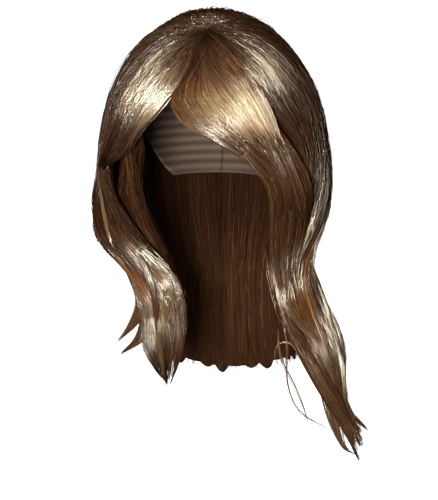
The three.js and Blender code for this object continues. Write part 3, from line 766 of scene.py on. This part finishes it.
# %% How far strands stand off their panel, in metres
STRAND_HEIGHTS = (-0.00072, 0.0008)
CLUMP_HEIGHTS = (-0.0007, 0.0007)
FLYAWAY_HEIGHTS = (0.0004, 0.0022)
FLYAWAY_SHARE = 0.06
CLUMP_LIFT_WAVES = (0.1, 0.2)
STRAND_LIFT_WAVES = (0.08, 0.2)
CLUMP_ROLL_SHARE = 0.4
HEIGHT_FADE = 0.08
EDGE_TUCK_WIDTH = 0.003
STRAND_GROOVE_SHARE = 0.8
INNER_HEIGHT = 0.0004
INNER_SCATTER = 0.0012


def strand_rise(panel, across, along, clump, stray, random, is_inner):
    """How high the strands lie over the outer surface of their panel, which is below 0 under it."""
    count, clumps = len(along), panel["clumps"]
    height = random.uniform(*STRAND_HEIGHTS, count) + random.uniform(*CLUMP_HEIGHTS, clumps)[clump]
    flyaway = stray | (random.uniform(0, 1, count) < FLYAWAY_SHARE)
    height = (height + flyaway * random.uniform(*FLYAWAY_HEIGHTS, count))[:, None]
    clump_wave = random.uniform(*CLUMP_LIFT_WAVES, clumps)[clump]
    clump_phase = random.uniform(0, 1, clumps)[clump]
    lift = wave(along, panel["length"], clump_wave, clump_phase, CLUMP_ROLL_SHARE * panel["roll"])
    strand_wave = random.uniform(*STRAND_LIFT_WAVES, count)
    lift = lift + wave(along, panel["length"], strand_wave, random.uniform(0, 1, count), panel["roll"])
    depth = panel_depth(across, along, along, panel)
    edge = np.minimum(across, 1 - across) * panel["width"]
    edge_tuck = smooth_share(edge, EDGE_TUCK_WIDTH, 0) * random.uniform(0, 1, count)[:, None]
    sink = groove_depth(across, depth, panel) * STRAND_GROOVE_SHARE + edge_tuck * depth
    if is_inner:
        sink = depth - INNER_HEIGHT + INNER_SCATTER * random.uniform(-1, 1, count)[:, None]
    return (height + lift) * smooth_share(along, 0, HEIGHT_FADE) - sink - tuck_depth(along, panel)


# %% Strands of a panel
STRAND_RADIUS = 0.00031
STRAND_WIDTHS = (0.65, 1.3)
STRAND_TIP_SHARE = 0.25
STRAND_TIP_START = 0.8
STRAND_STREAK_RUN = 12
STREAK_SPREAD = 900
WHORL_SPREAD = 0.008
WHORL_LOWEST = -0.6
WHORL_FADE = 0.25
ABOVE_CAP = 0.0012
CLUMP_WARMTH = 0.12
STRAND_WARMTH = 0.06


def strand_streaks(run, random):
    """Places of the streaks: each strand has its own, and they follow its run."""
    own = random.uniform(0, STREAK_SPREAD, len(run))[:, None]
    return np.stack([np.broadcast_to(own, run.shape), run * STRAND_STREAK_RUN, np.zeros_like(run)], axis=-1)


def panel_strands(name, panel, count, steps, seed, is_inner=False):
    """All the strands of a panel in one mesh, on its outer side or on its inner one."""
    random = np.random.default_rng(seed)
    clumps = panel["clumps"]
    across, along, clump, stray = strand_shares(panel, count, steps, random, is_inner)
    rise = strand_rise(panel, across, along, clump, stray, random, is_inner)
    offset = [random.uniform(-1, 1, count), random.uniform(WHORL_LOWEST, 1, count), np.zeros(count)]
    offset = WHORL_SPREAD * np.stack(offset, axis=-1)[:, None]
    offset = offset * (1 - smooth_share(along, 0, WHORL_FADE))[..., None]
    centres = on_dome(at(panel["surface"], across, along) + offset)
    normals = outward(centres)
    centres = off_head(centres + rise[..., None] * normals, ABOVE_CAP)
    taper = blend(1, STRAND_TIP_SHARE, smooth_share(np.linspace(0, 1, steps), STRAND_TIP_START, 1))
    radii = STRAND_RADIUS * random.uniform(*STRAND_WIDTHS, count)[:, None] * taper

    tone, warmth = panel_tone(across, along, panel)
    own_tone = random.normal(0, panel["clump_contrast"], clumps)[clump]
    own_tone = own_tone + random.normal(0, panel["strand_contrast"], count)
    own_warmth = random.normal(0, CLUMP_WARMTH, clumps)[clump] + random.normal(0, STRAND_WARMTH, count)
    # Painted shade: the strands inside the back hair are darkened.
    tone = tone + own_tone[:, None] - INNER_PAINTED_SHADE * is_inner
    warmth = np.clip(warmth + own_warmth[:, None], 0, 1)
    values = (tone, warmth, strand_streaks(along, random))
    mesh = mesh_of(name, *tubes(centres, normals, radii))
    give_values(mesh, *(over_sides(value) for value in values))
    if not is_inner:
        soften_faces(mesh, tone, warmth)
    return mesh


# %% [markdown]
# ## The panels
# Each panel has its hairlines, its locks, and how its strands behave: how many clumps, how far the
# roots spread, how strongly clumps come together at the tip, and how much shorter the layered fibres
# are. Each spot changes the tone and the warmth of a panel, as (across, along, spread across, spread
# along, tone added, warmth added). A spot that is paler and less warm is a painted highlight, put where
# the lamp's sheen falls, and the darker spot high on the right side is painted shade; the rest change
# the colour of the fibres.

# %% Values shared by all panels
USUAL = {
    "thickness": SIDE_THICKNESS, "split": 0.78, "ragged": 0.06, "width": 0.085, "clumps": 34,
    "clump_contrast": 0.09, "strand_contrast": 0.10, "start_spread": 0.10, "layered": 0.25, "pinch": 0.6,
    "sway": 0.1, "roll": 0.045, "tucked": 0, "root_tone": 0.12, "tone": 0.24, "root_fade": 0.3,
    "tip_tone": 0.44, "tip_fade": (0.55, 0.8), "warmth": 0.3, "spots": [],
}


def panel_with(lines, swells=(), **changes):
    """A panel with its own values where they are given and the usual ones elsewhere."""
    panel = {**USUAL, **changes}
    panel["surface"] = panel_surface(lines, swells)
    middle = panel["surface"]["points"][ACROSS_STEPS // 2]
    panel["length"] = np.linalg.norm(np.diff(middle, axis=0), axis=1).sum()
    return panel


# %% Soft waves of the side hair, as (along, spread, rise to the front)
RIGHT_SWELLS = [(0.63, 0.052, 0.0064), (0.775, 0.03, 0.0052), (0.90, 0.047, 0.0060)]
LEFT_SWELLS = [(0.612, 0.05, 0.0068), (0.70, 0.028, -0.0030), (0.80, 0.048, 0.0024), (0.93, 0.035, 0.0040)]

# %% The panels of the wig
# Painted light on the short sweep: the pale, cooler spot is a painted highlight where the sheen falls, and
# the dark tone towards its tips is painted shade where the sweep turns away round the side of the head.
short_sweep = panel_with(
    SHORT_SWEEP_LINES, locks=6, split=0.7, thickness=BANGS_THICKNESS, width=0.045, clumps=20, layered=0.12,
    tone=0.34, tip_tone=0.10, tip_fade=(0.54, 0.70),
    spots=[(0.3, 0.46, 0.45, 0.14, 0.26, -0.3)])
# Painted light on the long sweep: the large pale, cooler spot across its middle is a painted highlight where
# the sheen falls.
long_sweep = panel_with(
    LONG_SWEEP_LINES, locks=8, split=0.8, ragged=0.03, thickness=BANGS_THICKNESS, width=0.07, clumps=30,
    layered=0.12, pinch=0.4, tone=0.30, tip_tone=0.26, tip_fade=(0.6, 0.8),
    spots=[(0.5, 0.46, 0.5, 0.15, 0.6, -0.3), (0.15, 0.30, 0.2, 0.08, 0.0, 0.45),
           (1.0, 0.22, 0.25, 0.06, 0.1, 0.4)])
# Painted light on the right side: the darker spot high up is painted shade, and the pale, cooler spot low
# down is a painted highlight.
right_side = panel_with(
    RIGHT_SIDE_LINES, RIGHT_SWELLS, locks=7, split=0.9, width=0.085, tone=0.14, tip_tone=0.28,
    tip_fade=(0.56, 0.66), clump_contrast=0.06, strand_contrast=0.08,
    spots=[(0.2, 0.33, 0.5, 0.10, -0.10, 0.0), (0.45, 0.735, 0.28, 0.035, 0.04, 0.8),
           (0.8, 0.80, 0.25, 0.04, 0.04, 0.8), (0.5, 0.87, 0.25, 0.04, 0.25, -0.2)])
# Painted light on the left side: the two pale, cooler spots, one near the crown and one halfway down, are
# painted highlights where the sheen falls.
left_side = panel_with(
    LEFT_SIDE_LINES, LEFT_SWELLS, locks=7, split=0.9, width=0.09, clumps=36, tone=0.11, tip_tone=0.34,
    tip_fade=(0.5, 0.58), clump_contrast=0.06, strand_contrast=0.07,
    spots=[(0.2, 0.13, 0.3, 0.05, 0.42, -0.2), (0.35, 0.56, 0.35, 0.03, 0.46, -0.2),
           (0.4, 0.66, 0.3, 0.045, 0.06, 0.7), (0.9, 0.76, 0.3, 0.06, -0.12, 0.2),
           (0.6, 0.94, 0.5, 0.05, 0.3, 0.2)])
back = panel_with(
    BACK_LINES, locks=14, split=0.975, ragged=0.02, thickness=BACK_THICKNESS, width=0.32, clumps=90,
    sway=0.05)
UNDER = {
    "locks": 4, "split": 0.7, "thickness": UNDER_THICKNESS, "width": 0.05, "clumps": 16, "tone": 0.10,
    "tip_tone": 0.16, "tucked": 0.016,
}
right_under = panel_with(RIGHT_UNDER_LINES, **UNDER)
left_under = panel_with(LEFT_UNDER_LINES, **UNDER)

# %% Cores and strands of every panel, as (node, panel, slot, strands, steps)
PANEL_ROWS = [
    ("bangs_short_sweep", short_sweep, "bangs_fibre", 900, 11),
    ("bangs_long_sweep", long_sweep, "bangs_fibre", 1850, 12),
    ("right_side_hair", right_side, "side_fibre", 1360, 22),
    ("left_side_hair", left_side, "side_fibre", 1250, 24),
    ("back_hair", back, "back_fibre", 1700, 14),
    ("right_under_hair", right_under, "under_fibre", 300, 10),
    ("left_under_hair", left_under, "under_fibre", 300, 10),
]
for seed, (node, panel, slot, count, steps) in enumerate(PANEL_ROWS):
    add_piece(node + "_core", panel_core(node + "_core", panel), [core_material], [node])
    strands = panel_strands(node + "_strands", panel, count, steps, seed)
    finishes = (inner_material, inner_material) if slot == "under_fibre" else strand_materials
    add_piece(node + "_strands", strands, finishes)

# %% Strands inside the back hair
INNER_STRANDS = 620
INNER_STEPS = 10
INNER_SEED = 31
inner_strands = panel_strands(
    "back_hair_inner_strands", back, INNER_STRANDS, INNER_STEPS, INNER_SEED, is_inner=True)
add_piece("back_hair_inner_strands", inner_strands, [inner_material])

# %% [markdown]
# ## Loose locks
# Some locks leave their panel: two flick outwards at the wearer's right shoulder, one curls at the
# end of the left side, the end of the long sweep runs on into the side hair, and others lie across the
# side hair in curves of their own. A lock is a bundle of strands round one line, wide in the middle and
# drawn together at the tip, so it needs no core.

# %% Strands round one line
LOCK_ROOT_SHARE = 0.4
LOCK_TIP_SHARE = 0.15
LOCK_OPEN_FROM = 0.3
LOCK_NARROW_FROM = 0.45
LOCK_TWIST = 0.9
LOCK_BEGINS = (0, 0.1)
LOCK_STOPS = (0.84, 1)
LOCK_STRAND_WIDTHS = (0.7, 1.3)
LOCK_STRAND_TIP_SHARE = 0.2
LOCK_STRAND_TIP_START = 0.75
LOCK_TONE_CONTRAST = 0.09
LOCK_WARMTH_CONTRAST = 0.15


def lock_taper(share):
    """How wide a lock is along its line: it opens from its root and draws together to its tip."""
    opening = blend(LOCK_ROOT_SHARE, 1, smooth_share(share, 0, LOCK_OPEN_FROM))
    return opening * blend(1, LOCK_TIP_SHARE, smooth_share(share, LOCK_NARROW_FROM, 1))


def lock_strands(middle, out, random, count, width, thickness, tone, warmth):
    """The arrays of one bundle of strands round a line: centres, normals, radii, tones, warmths, streaks."""
    steps = len(middle)
    share = np.linspace(0, 1, steps)
    run = np.gradient(middle, axis=0)
    side = unit(np.cross(run, out))
    out = unit(np.cross(side, run))
    turn = random.uniform(0, 2 * math.pi, count)[:, None]
    reach = np.sqrt(random.uniform(0, 1, count))[:, None] * lock_taper(share) / 2
    twist = turn + LOCK_TWIST * share * random.uniform(-1, 1, count)[:, None]
    aside = (reach * np.cos(twist) * width)[..., None]
    above = (reach * np.sin(twist) * thickness)[..., None]
    centres = middle + aside * side + above * out
    begin = random.uniform(*LOCK_BEGINS, count)[:, None]
    stop = random.uniform(*LOCK_STOPS, count)[:, None]
    place = (begin + share * (stop - begin)) * (steps - 1)
    low = np.minimum(place.astype(int), steps - 2)
    order = np.arange(count)[:, None]
    centres = blend(centres[order, low], centres[order, low + 1], (place - low)[..., None])
    taper = blend(1, LOCK_STRAND_TIP_SHARE, smooth_share(share, LOCK_STRAND_TIP_START, 1))
    radii = STRAND_RADIUS * taper * random.uniform(*LOCK_STRAND_WIDTHS, count)[:, None]
    own_tone = tone + random.normal(0, LOCK_TONE_CONTRAST, count)
    own_warmth = np.clip(warmth + random.normal(0, LOCK_WARMTH_CONTRAST, count), 0, 1)
    tones = np.broadcast_to(own_tone[:, None], (count, steps))
    warmths = np.broadcast_to(own_warmth[:, None], (count, steps))
    streaks = strand_streaks(np.broadcast_to(share, (count, steps)), random)
    return centres, np.broadcast_to(out, centres.shape), radii, tones, warmths, streaks


def lock_piece(name, locks):
    """One mesh of several locks, all with the same number of steps."""
    centres, normals, radii, *values = (np.concatenate(parts) for parts in zip(*locks))
    mesh = mesh_of(name, *tubes(centres, normals, radii))
    give_values(mesh, *(over_sides(value) for value in values))
    tones, warmths, _ = values
    soften_faces(mesh, tones, warmths)
    add_piece(name, mesh, strand_materials)


# %% Locks that hang free of the panels
FREE_STEPS = 14
TO_THE_FRONT = np.array([0.0, -1.0, 0.0])


def free_locks(name, lines, seed, strands, width, thickness, tone, warmth):
    """A piece with one lock along each of its hairlines."""
    random = np.random.default_rng(seed)
    locks = []
    for rows in lines:
        line = even_line(rows, FREE_STEPS)
        middle = on_dome(line) - thickness / 2 * outward(line)
        out = np.broadcast_to(TO_THE_FRONT, middle.shape)
        locks.append(lock_strands(middle, out, random, strands, width, thickness, tone, warmth))
    lock_piece(name, locks)


# %% The two flicks at the wearer's right shoulder
free_locks(
    "right_flick_strands", RIGHT_FLICK_LINES, seed=41, strands=150, width=0.017, thickness=0.007,
    tone=0.34, warmth=0.3)

# %% Locks that lie on the panels
LYING_STEPS = 14


def lying_lock(places, random, count, width, thickness, rise, tone, warmth):
    """A lock over places on panels, each given as (panel, across, along), which bulges in its middle."""
    share = np.linspace(0, 1, LYING_STEPS)

    def through_places(what):
        values = []
        for panel, across, along in places:
            values.append(at(panel["surface"], np.array(across), np.array(along), what))
        return smooth_curve(np.stack(values)[:, None], share)[:, 0]

    out = through_places("outward")
    bulge = rise * np.sin(math.pi * share).clip(0) ** 0.5
    middle = through_places("points") + bulge[:, None] * out
    return lock_strands(middle, out, random, count, width, thickness, tone, warmth)


# %% Locks from the long sweep into the side hair, as (across at the start, at the end, tone)
MERGING_ROWS = [
    (0.20, 0.02, 0.22), (0.40, 0.07, 0.26), (0.58, 0.14, 0.24), (0.76, 0.22, 0.26), (0.94, 0.32, 0.22),
]
MERGING_ON_SWEEP = (0.55, 0.72, 0.88)
MERGING_ON_SIDE = (0.50, 0.58, 0.66)
MERGING_DRIFT = (0.0, 0.03, 0.06)
MERGING_STRANDS = 105
MERGING_WARMTH = 0.4


def merging_lock(start, end, tone, random):
    """A lock that leaves the long sweep and runs on down the side hair."""
    on_sweep = [(long_sweep, start, along) for along in MERGING_ON_SWEEP]
    on_side = [(left_side, end + drift, along) for drift, along in zip(MERGING_DRIFT, MERGING_ON_SIDE)]
    return lying_lock(
        on_sweep + on_side, random, MERGING_STRANDS, width=0.021, thickness=0.004, rise=0.0036, tone=tone,
        warmth=MERGING_WARMTH)


merging_random = np.random.default_rng(43)
merging_locks = [merging_lock(*row, merging_random) for row in MERGING_ROWS]
lock_piece("bangs_merging_strands", merging_locks)

# %% Locks of the side hair, as (places of (across, along), width, tone, warmth)
LEFT_LOCKS = [
    ([(0.05, 0.58), (0.12, 0.64), (0.22, 0.69), (0.42, 0.75), (0.72, 0.82)], 0.009, 0.46, 0.2),
    ([(0.75, 0.54), (0.62, 0.62), (0.52, 0.70), (0.50, 0.78), (0.58, 0.87)], 0.016, 0.46, 0.8),
    ([(0.90, 0.62), (0.86, 0.72), (0.74, 0.82), (0.62, 0.90), (0.66, 0.98)], 0.012, 0.46, 0.2),
    ([(0.05, 0.62), (0.10, 0.72), (0.24, 0.82), (0.44, 0.92), (0.60, 0.99)], 0.010, 0.20, 0.5),
    ([(0.45, 0.40), (0.40, 0.48), (0.44, 0.56), (0.58, 0.64), (0.80, 0.72)], 0.010, 0.44, 0.2),
    ([(0.85, 0.34), (0.74, 0.44), (0.62, 0.52), (0.40, 0.60), (0.30, 0.70)], 0.010, 0.20, 0.4),
]
RIGHT_LOCKS = [
    ([(0.50, 0.62), (0.20, 0.70), (0.14, 0.76), (0.32, 0.83), (0.50, 0.89), (0.42, 0.97)], 0.013, 0.50, 0.1),
    ([(0.85, 0.60), (0.66, 0.70), (0.52, 0.77), (0.46, 0.85), (0.50, 0.95)], 0.014, 0.46, 0.8),
    ([(0.12, 0.58), (0.20, 0.68), (0.36, 0.77), (0.52, 0.86), (0.60, 0.96)], 0.009, 0.26, 0.5),
    ([(0.30, 0.76), (0.36, 0.82), (0.46, 0.88), (0.50, 0.94), (0.48, 0.99)], 0.008, 0.44, 0.2),
    ([(0.30, 0.40), (0.22, 0.48), (0.26, 0.56), (0.40, 0.63), (0.62, 0.70)], 0.009, 0.46, 0.1),
]
SIDE_LOCK_STRANDS = 70
SIDE_LOCK_THICKNESS = 0.003
SIDE_LOCK_RISE = 0.0022
SIDE_LOCK_SIDES = [("left", left_side, LEFT_LOCKS, 47), ("right", right_side, RIGHT_LOCKS, 53)]
for side, panel, rows, seed in SIDE_LOCK_SIDES:
    lock_random = np.random.default_rng(seed)
    lock_piece(side + "_side_lock_strands", [
        lying_lock([(panel, *place) for place in places], lock_random, SIDE_LOCK_STRANDS, width,
                   SIDE_LOCK_THICKNESS, SIDE_LOCK_RISE, tone, warmth)
        for places, width, tone, warmth in rows])

# %% The curl at the end of the left side, and wisps that hang free
LEFT_CURL_LINES = [
    [
        (1.00, -0.38, 1.62), (1.06, -0.40, 1.71), (1.12, -0.41, 1.80), (1.20, -0.40, 1.85),
        (1.34, -0.38, 1.875),
    ],
    [
        (0.98, -0.39, 1.68), (1.05, -0.41, 1.78), (1.12, -0.42, 1.87), (1.19, -0.41, 1.94),
        (1.29, -0.39, 1.965),
    ],
]
WISP_LINES = [
    [
        (0.63, -0.60, 1.47), (0.68, -0.60, 1.57), (0.68, -0.58, 1.69), (0.77, -0.55, 1.79),
        (0.93, -0.50, 1.84), (1.13, -0.45, 1.88),
    ],
    [
        (0.78, -0.62, 1.60), (0.70, -0.62, 1.555), (0.61, -0.61, 1.56), (0.575, -0.60, 1.60),
        (0.61, -0.58, 1.65),
    ],
    [
        (0.60, -0.62, 1.50), (0.62, -0.62, 1.60), (0.74, -0.60, 1.70), (0.84, -0.58, 1.80),
        (0.88, -0.56, 1.88),
    ],
]
free_locks(
    "left_curl_strands", LEFT_CURL_LINES, seed=61, strands=80, width=0.015, thickness=0.006,
    tone=0.36, warmth=0.4)
free_locks(
    "wisp_strands", WISP_LINES, seed=59, strands=5, width=0.0035, thickness=0.0025,
    tone=0.40, warmth=0.5)

# %% [markdown]
# ## The cap
# The cap is a knitted net with rows of hair sewn to it. It has eight panels, four round the crown and
# four in the band. Each is a flat grid with two sides that is bent round a quarter of the head, and the
# points that meet at the crown are merged. The rows of stitches are in its material.

# %% The cap's rim, as (turn from the forehead in degrees, drop under the crown)
RIM_ROWS = [
    (0, 0.052), (35, 0.052), (55, 0.084), (75, 0.118), (86, 0.118), (104, 0.096), (135, 0.146), (180, 0.146),
]
CAP_TURNS = 32
CAP_LEVELS = 18
CROWN_SEAM_DROP = 0.036
CAP_SEAM_SHARE = 0.003
CAP_MERGE_DISTANCE = 1e-5


def rim_drop(turn):
    """How far the cap's rim lies under the crown, at turns from the forehead."""
    folded = np.abs(np.where(turn > 180, 360 - turn, turn))
    drop = np.full_like(folded, RIM_ROWS[0][1])
    for (start, start_drop), (end, end_drop) in zip(RIM_ROWS, RIM_ROWS[1:]):
        drop = drop + (end_drop - start_drop) * smooth_share(folded, start, end)
    return drop


def cap_panel(name, quarter, is_band):
    """A quarter of the crown or of the band, as a curved wall with a small gap to its neighbours."""
    maker, across, down, is_outer = two_sided_grid(CAP_TURNS, CAP_LEVELS)
    angle = math.pi / 2 * (quarter + 0.5 + (across - 0.5) * (1 - CAP_SEAM_SHARE))
    offset = is_outer * CAP_WALL
    turn = np.degrees(np.arctan2(CAP_HALF_WIDTH * np.sin(angle), CAP_HALF_LENGTH * np.cos(angle))) % 360
    lowest = np.arccos(1 - rim_drop(turn) / CAP_HEIGHT)
    seam = math.acos(1 - CROWN_SEAM_DROP / CAP_HEIGHT)
    polar = blend(seam * (1 + CAP_SEAM_SHARE), lowest, down) if is_band else seam * down
    x = np.sin(polar) * np.sin(angle) * (CAP_HALF_WIDTH + offset)
    y = -np.sin(polar) * np.cos(angle) * (CAP_HALF_LENGTH + offset)
    z = np.cos(polar) * (CAP_HEIGHT + offset) - CAP_HEIGHT
    return moved_mesh(maker, np.stack([x, y, z], axis=-1), name, CAP_MERGE_DISTANCE)


# %% The net's material
WEFT_SPACING = 0.009
NET_COLOUR = (0.085, 0.050, 0.030, 1)
WEFT_COLOUR = (0.030, 0.016, 0.009, 1)
WAVE_RADIANS_PER_METRE = 20
WEFT_WAVER = 0.6
WEFT_WAVER_SCALE = 40
WEAVE_SCALE = 900
WEAVE_SHARE = 0.3
NET_BUMP = 0.8
NET_BUMP_DEPTH = 0.0008
NET_ROUGHNESS = 0.85
net_material, net_tree, net_shader = new_material("cap_net")
net_place = add_node(net_tree, "ShaderNodeTexCoord")
net_rows = add_node(net_tree, "ShaderNodeTexWave", bands_direction="Z")
net_rows.inputs["Scale"].default_value = 2 * math.pi / WAVE_RADIANS_PER_METRE / WEFT_SPACING
net_rows.inputs["Distortion"].default_value = WEFT_WAVER
net_rows.inputs["Detail Scale"].default_value = WEFT_WAVER_SCALE
net_weave = add_node(net_tree, "ShaderNodeTexVoronoi")
net_weave.inputs["Scale"].default_value = WEAVE_SCALE
net_mix = add_node(net_tree, "ShaderNodeMix", data_type="RGBA")
net_mix.inputs["A"].default_value = WEFT_COLOUR
net_mix.inputs["B"].default_value = NET_COLOUR
net_sum = add_node(net_tree, "ShaderNodeMath", operation="MULTIPLY_ADD")
net_sum.inputs[1].default_value = WEAVE_SHARE
net_bump = add_node(net_tree, "ShaderNodeBump")
net_bump.inputs["Strength"].default_value = NET_BUMP
net_bump.inputs["Distance"].default_value = NET_BUMP_DEPTH
net_link = net_tree.links.new
net_link(net_place.outputs["Object"], net_rows.inputs["Vector"])
net_link(net_place.outputs["Object"], net_weave.inputs["Vector"])
net_link(net_rows.outputs["Fac"], net_mix.inputs["Factor"])
net_link(net_weave.outputs["Distance"], net_sum.inputs[0])
net_link(net_rows.outputs["Fac"], net_sum.inputs[2])
net_link(net_sum.outputs["Value"], net_bump.inputs["Height"])
net_link(net_mix.outputs["Result"], net_shader.inputs["Base Color"])
net_link(net_bump.outputs["Normal"], net_shader.inputs["Normal"])
net_shader.inputs["Roughness"].default_value = NET_ROUGHNESS

# %% The eight panels of the cap
QUARTERS = ("front_left", "back_left", "back_right", "front_right")
for is_band, level in enumerate(("crown", "band")):
    for quarter, place in enumerate(QUARTERS):
        node = f"cap_{level}_{place}"
        mesh = cap_panel(node + "_net", quarter, is_band)
        add_piece(node + "_net", mesh, [net_material], [node])

# %% [markdown]
# ## The studio
# The wig is held up as it is worn, so the floor lies well under it. Floor and backdrop are one pale
# sheet, bent in a smooth curve, and a lamp near the camera lights the hair as a flash does: strands
# that run across the line of sight shine, and those that point towards it stay dark.

# %% Floor and backdrop
WHITE = (1, 1, 1, 1)
STAGE_ROWS = 60
FLOOR_COLOUR = (0.85, 0.85, 0.84, 1)
FLOOR_ROUGHNESS = 0.9
FLOOR_GLOW = 0.80
FLOOR_DROP = 0.49
STAGE_HALF_WIDTH = 4.0
FLOOR_FRONT = -3.0
FLOOR_BACK = 1.6
BEND_RADIUS = 1.0
BEND_LENGTH = BEND_RADIUS * math.pi / 2
WALL_HEIGHT = 3.0
FLOOR_LENGTH = FLOOR_BACK - FLOOR_FRONT
stage_maker = bmesh.new()
bmesh.ops.create_grid(stage_maker, x_segments=1, y_segments=STAGE_ROWS, size=1.0)
for vertex in stage_maker.verts:
    run = (vertex.co.y + 1) / 2 * (FLOOR_LENGTH + BEND_LENGTH + WALL_HEIGHT)
    bend = min(max(run - FLOOR_LENGTH, 0) / BEND_RADIUS, math.pi / 2)
    rise = max(run - FLOOR_LENGTH - BEND_LENGTH, 0)
    vertex.co.x *= STAGE_HALF_WIDTH
    vertex.co.y = FLOOR_FRONT + min(run, FLOOR_LENGTH) + BEND_RADIUS * math.sin(bend)
    vertex.co.z = -FLOOR_DROP + BEND_RADIUS * (1 - math.cos(bend)) + rise
stage_mesh = bpy.data.meshes.new("studio")
stage_maker.to_mesh(stage_mesh)
stage_maker.free()
stage_mesh.shade_smooth()
studio_material, studio_tree, studio_shader = new_material("studio")
studio_shader.inputs["Base Color"].default_value = FLOOR_COLOUR
studio_shader.inputs["Roughness"].default_value = FLOOR_ROUGHNESS
studio_shader.inputs["Emission Color"].default_value = WHITE
studio_shader.inputs["Emission Strength"].default_value = FLOOR_GLOW
stage_mesh.materials.append(studio_material)
studio = bpy.data.objects.new("studio", stage_mesh)
bpy.context.scene.collection.objects.link(studio)
studio.visible_diffuse = False
studio.visible_glossy = False

# %% Lamps, as (name, turn, rise, distance, size, power)
LAMPS = [
    ("key", -4, 6, 1.35, 0.30, 44.0),
    ("fill", 20, 25, 1.8, 1.2, 9.0),
    ("top", 20, 75, 1.5, 0.9, 6.0),
    ("rear", 195, 20, 1.8, 1.2, 22.0),
]
for name, turn, rise, distance, size, power in LAMPS:
    lamp = bpy.data.lights.new(name, "AREA")
    lamp.size = size
    lamp.energy = power
    holder = bpy.data.objects.new(name, lamp)
    bpy.context.scene.collection.objects.link(holder)
    aim(holder, CAMERA_TARGET + distance * direction(math.radians(turn), math.radians(rise)), CAMERA_TARGET)
    holder.visible_glossy = name == "key"

# %% The air, which lights the hair but isn't mirrored in it
AIR_LIGHT = 0.15
world = bpy.data.worlds.new("studio_air")
world.use_nodes = True
world.node_tree.nodes["Background"].inputs["Color"].default_value = WHITE
world.node_tree.nodes["Background"].inputs["Strength"].default_value = AIR_LIGHT
world.cycles_visibility.glossy = False
bpy.context.scene.world = world
bpy.context.scene.view_settings.view_transform = "Standard"
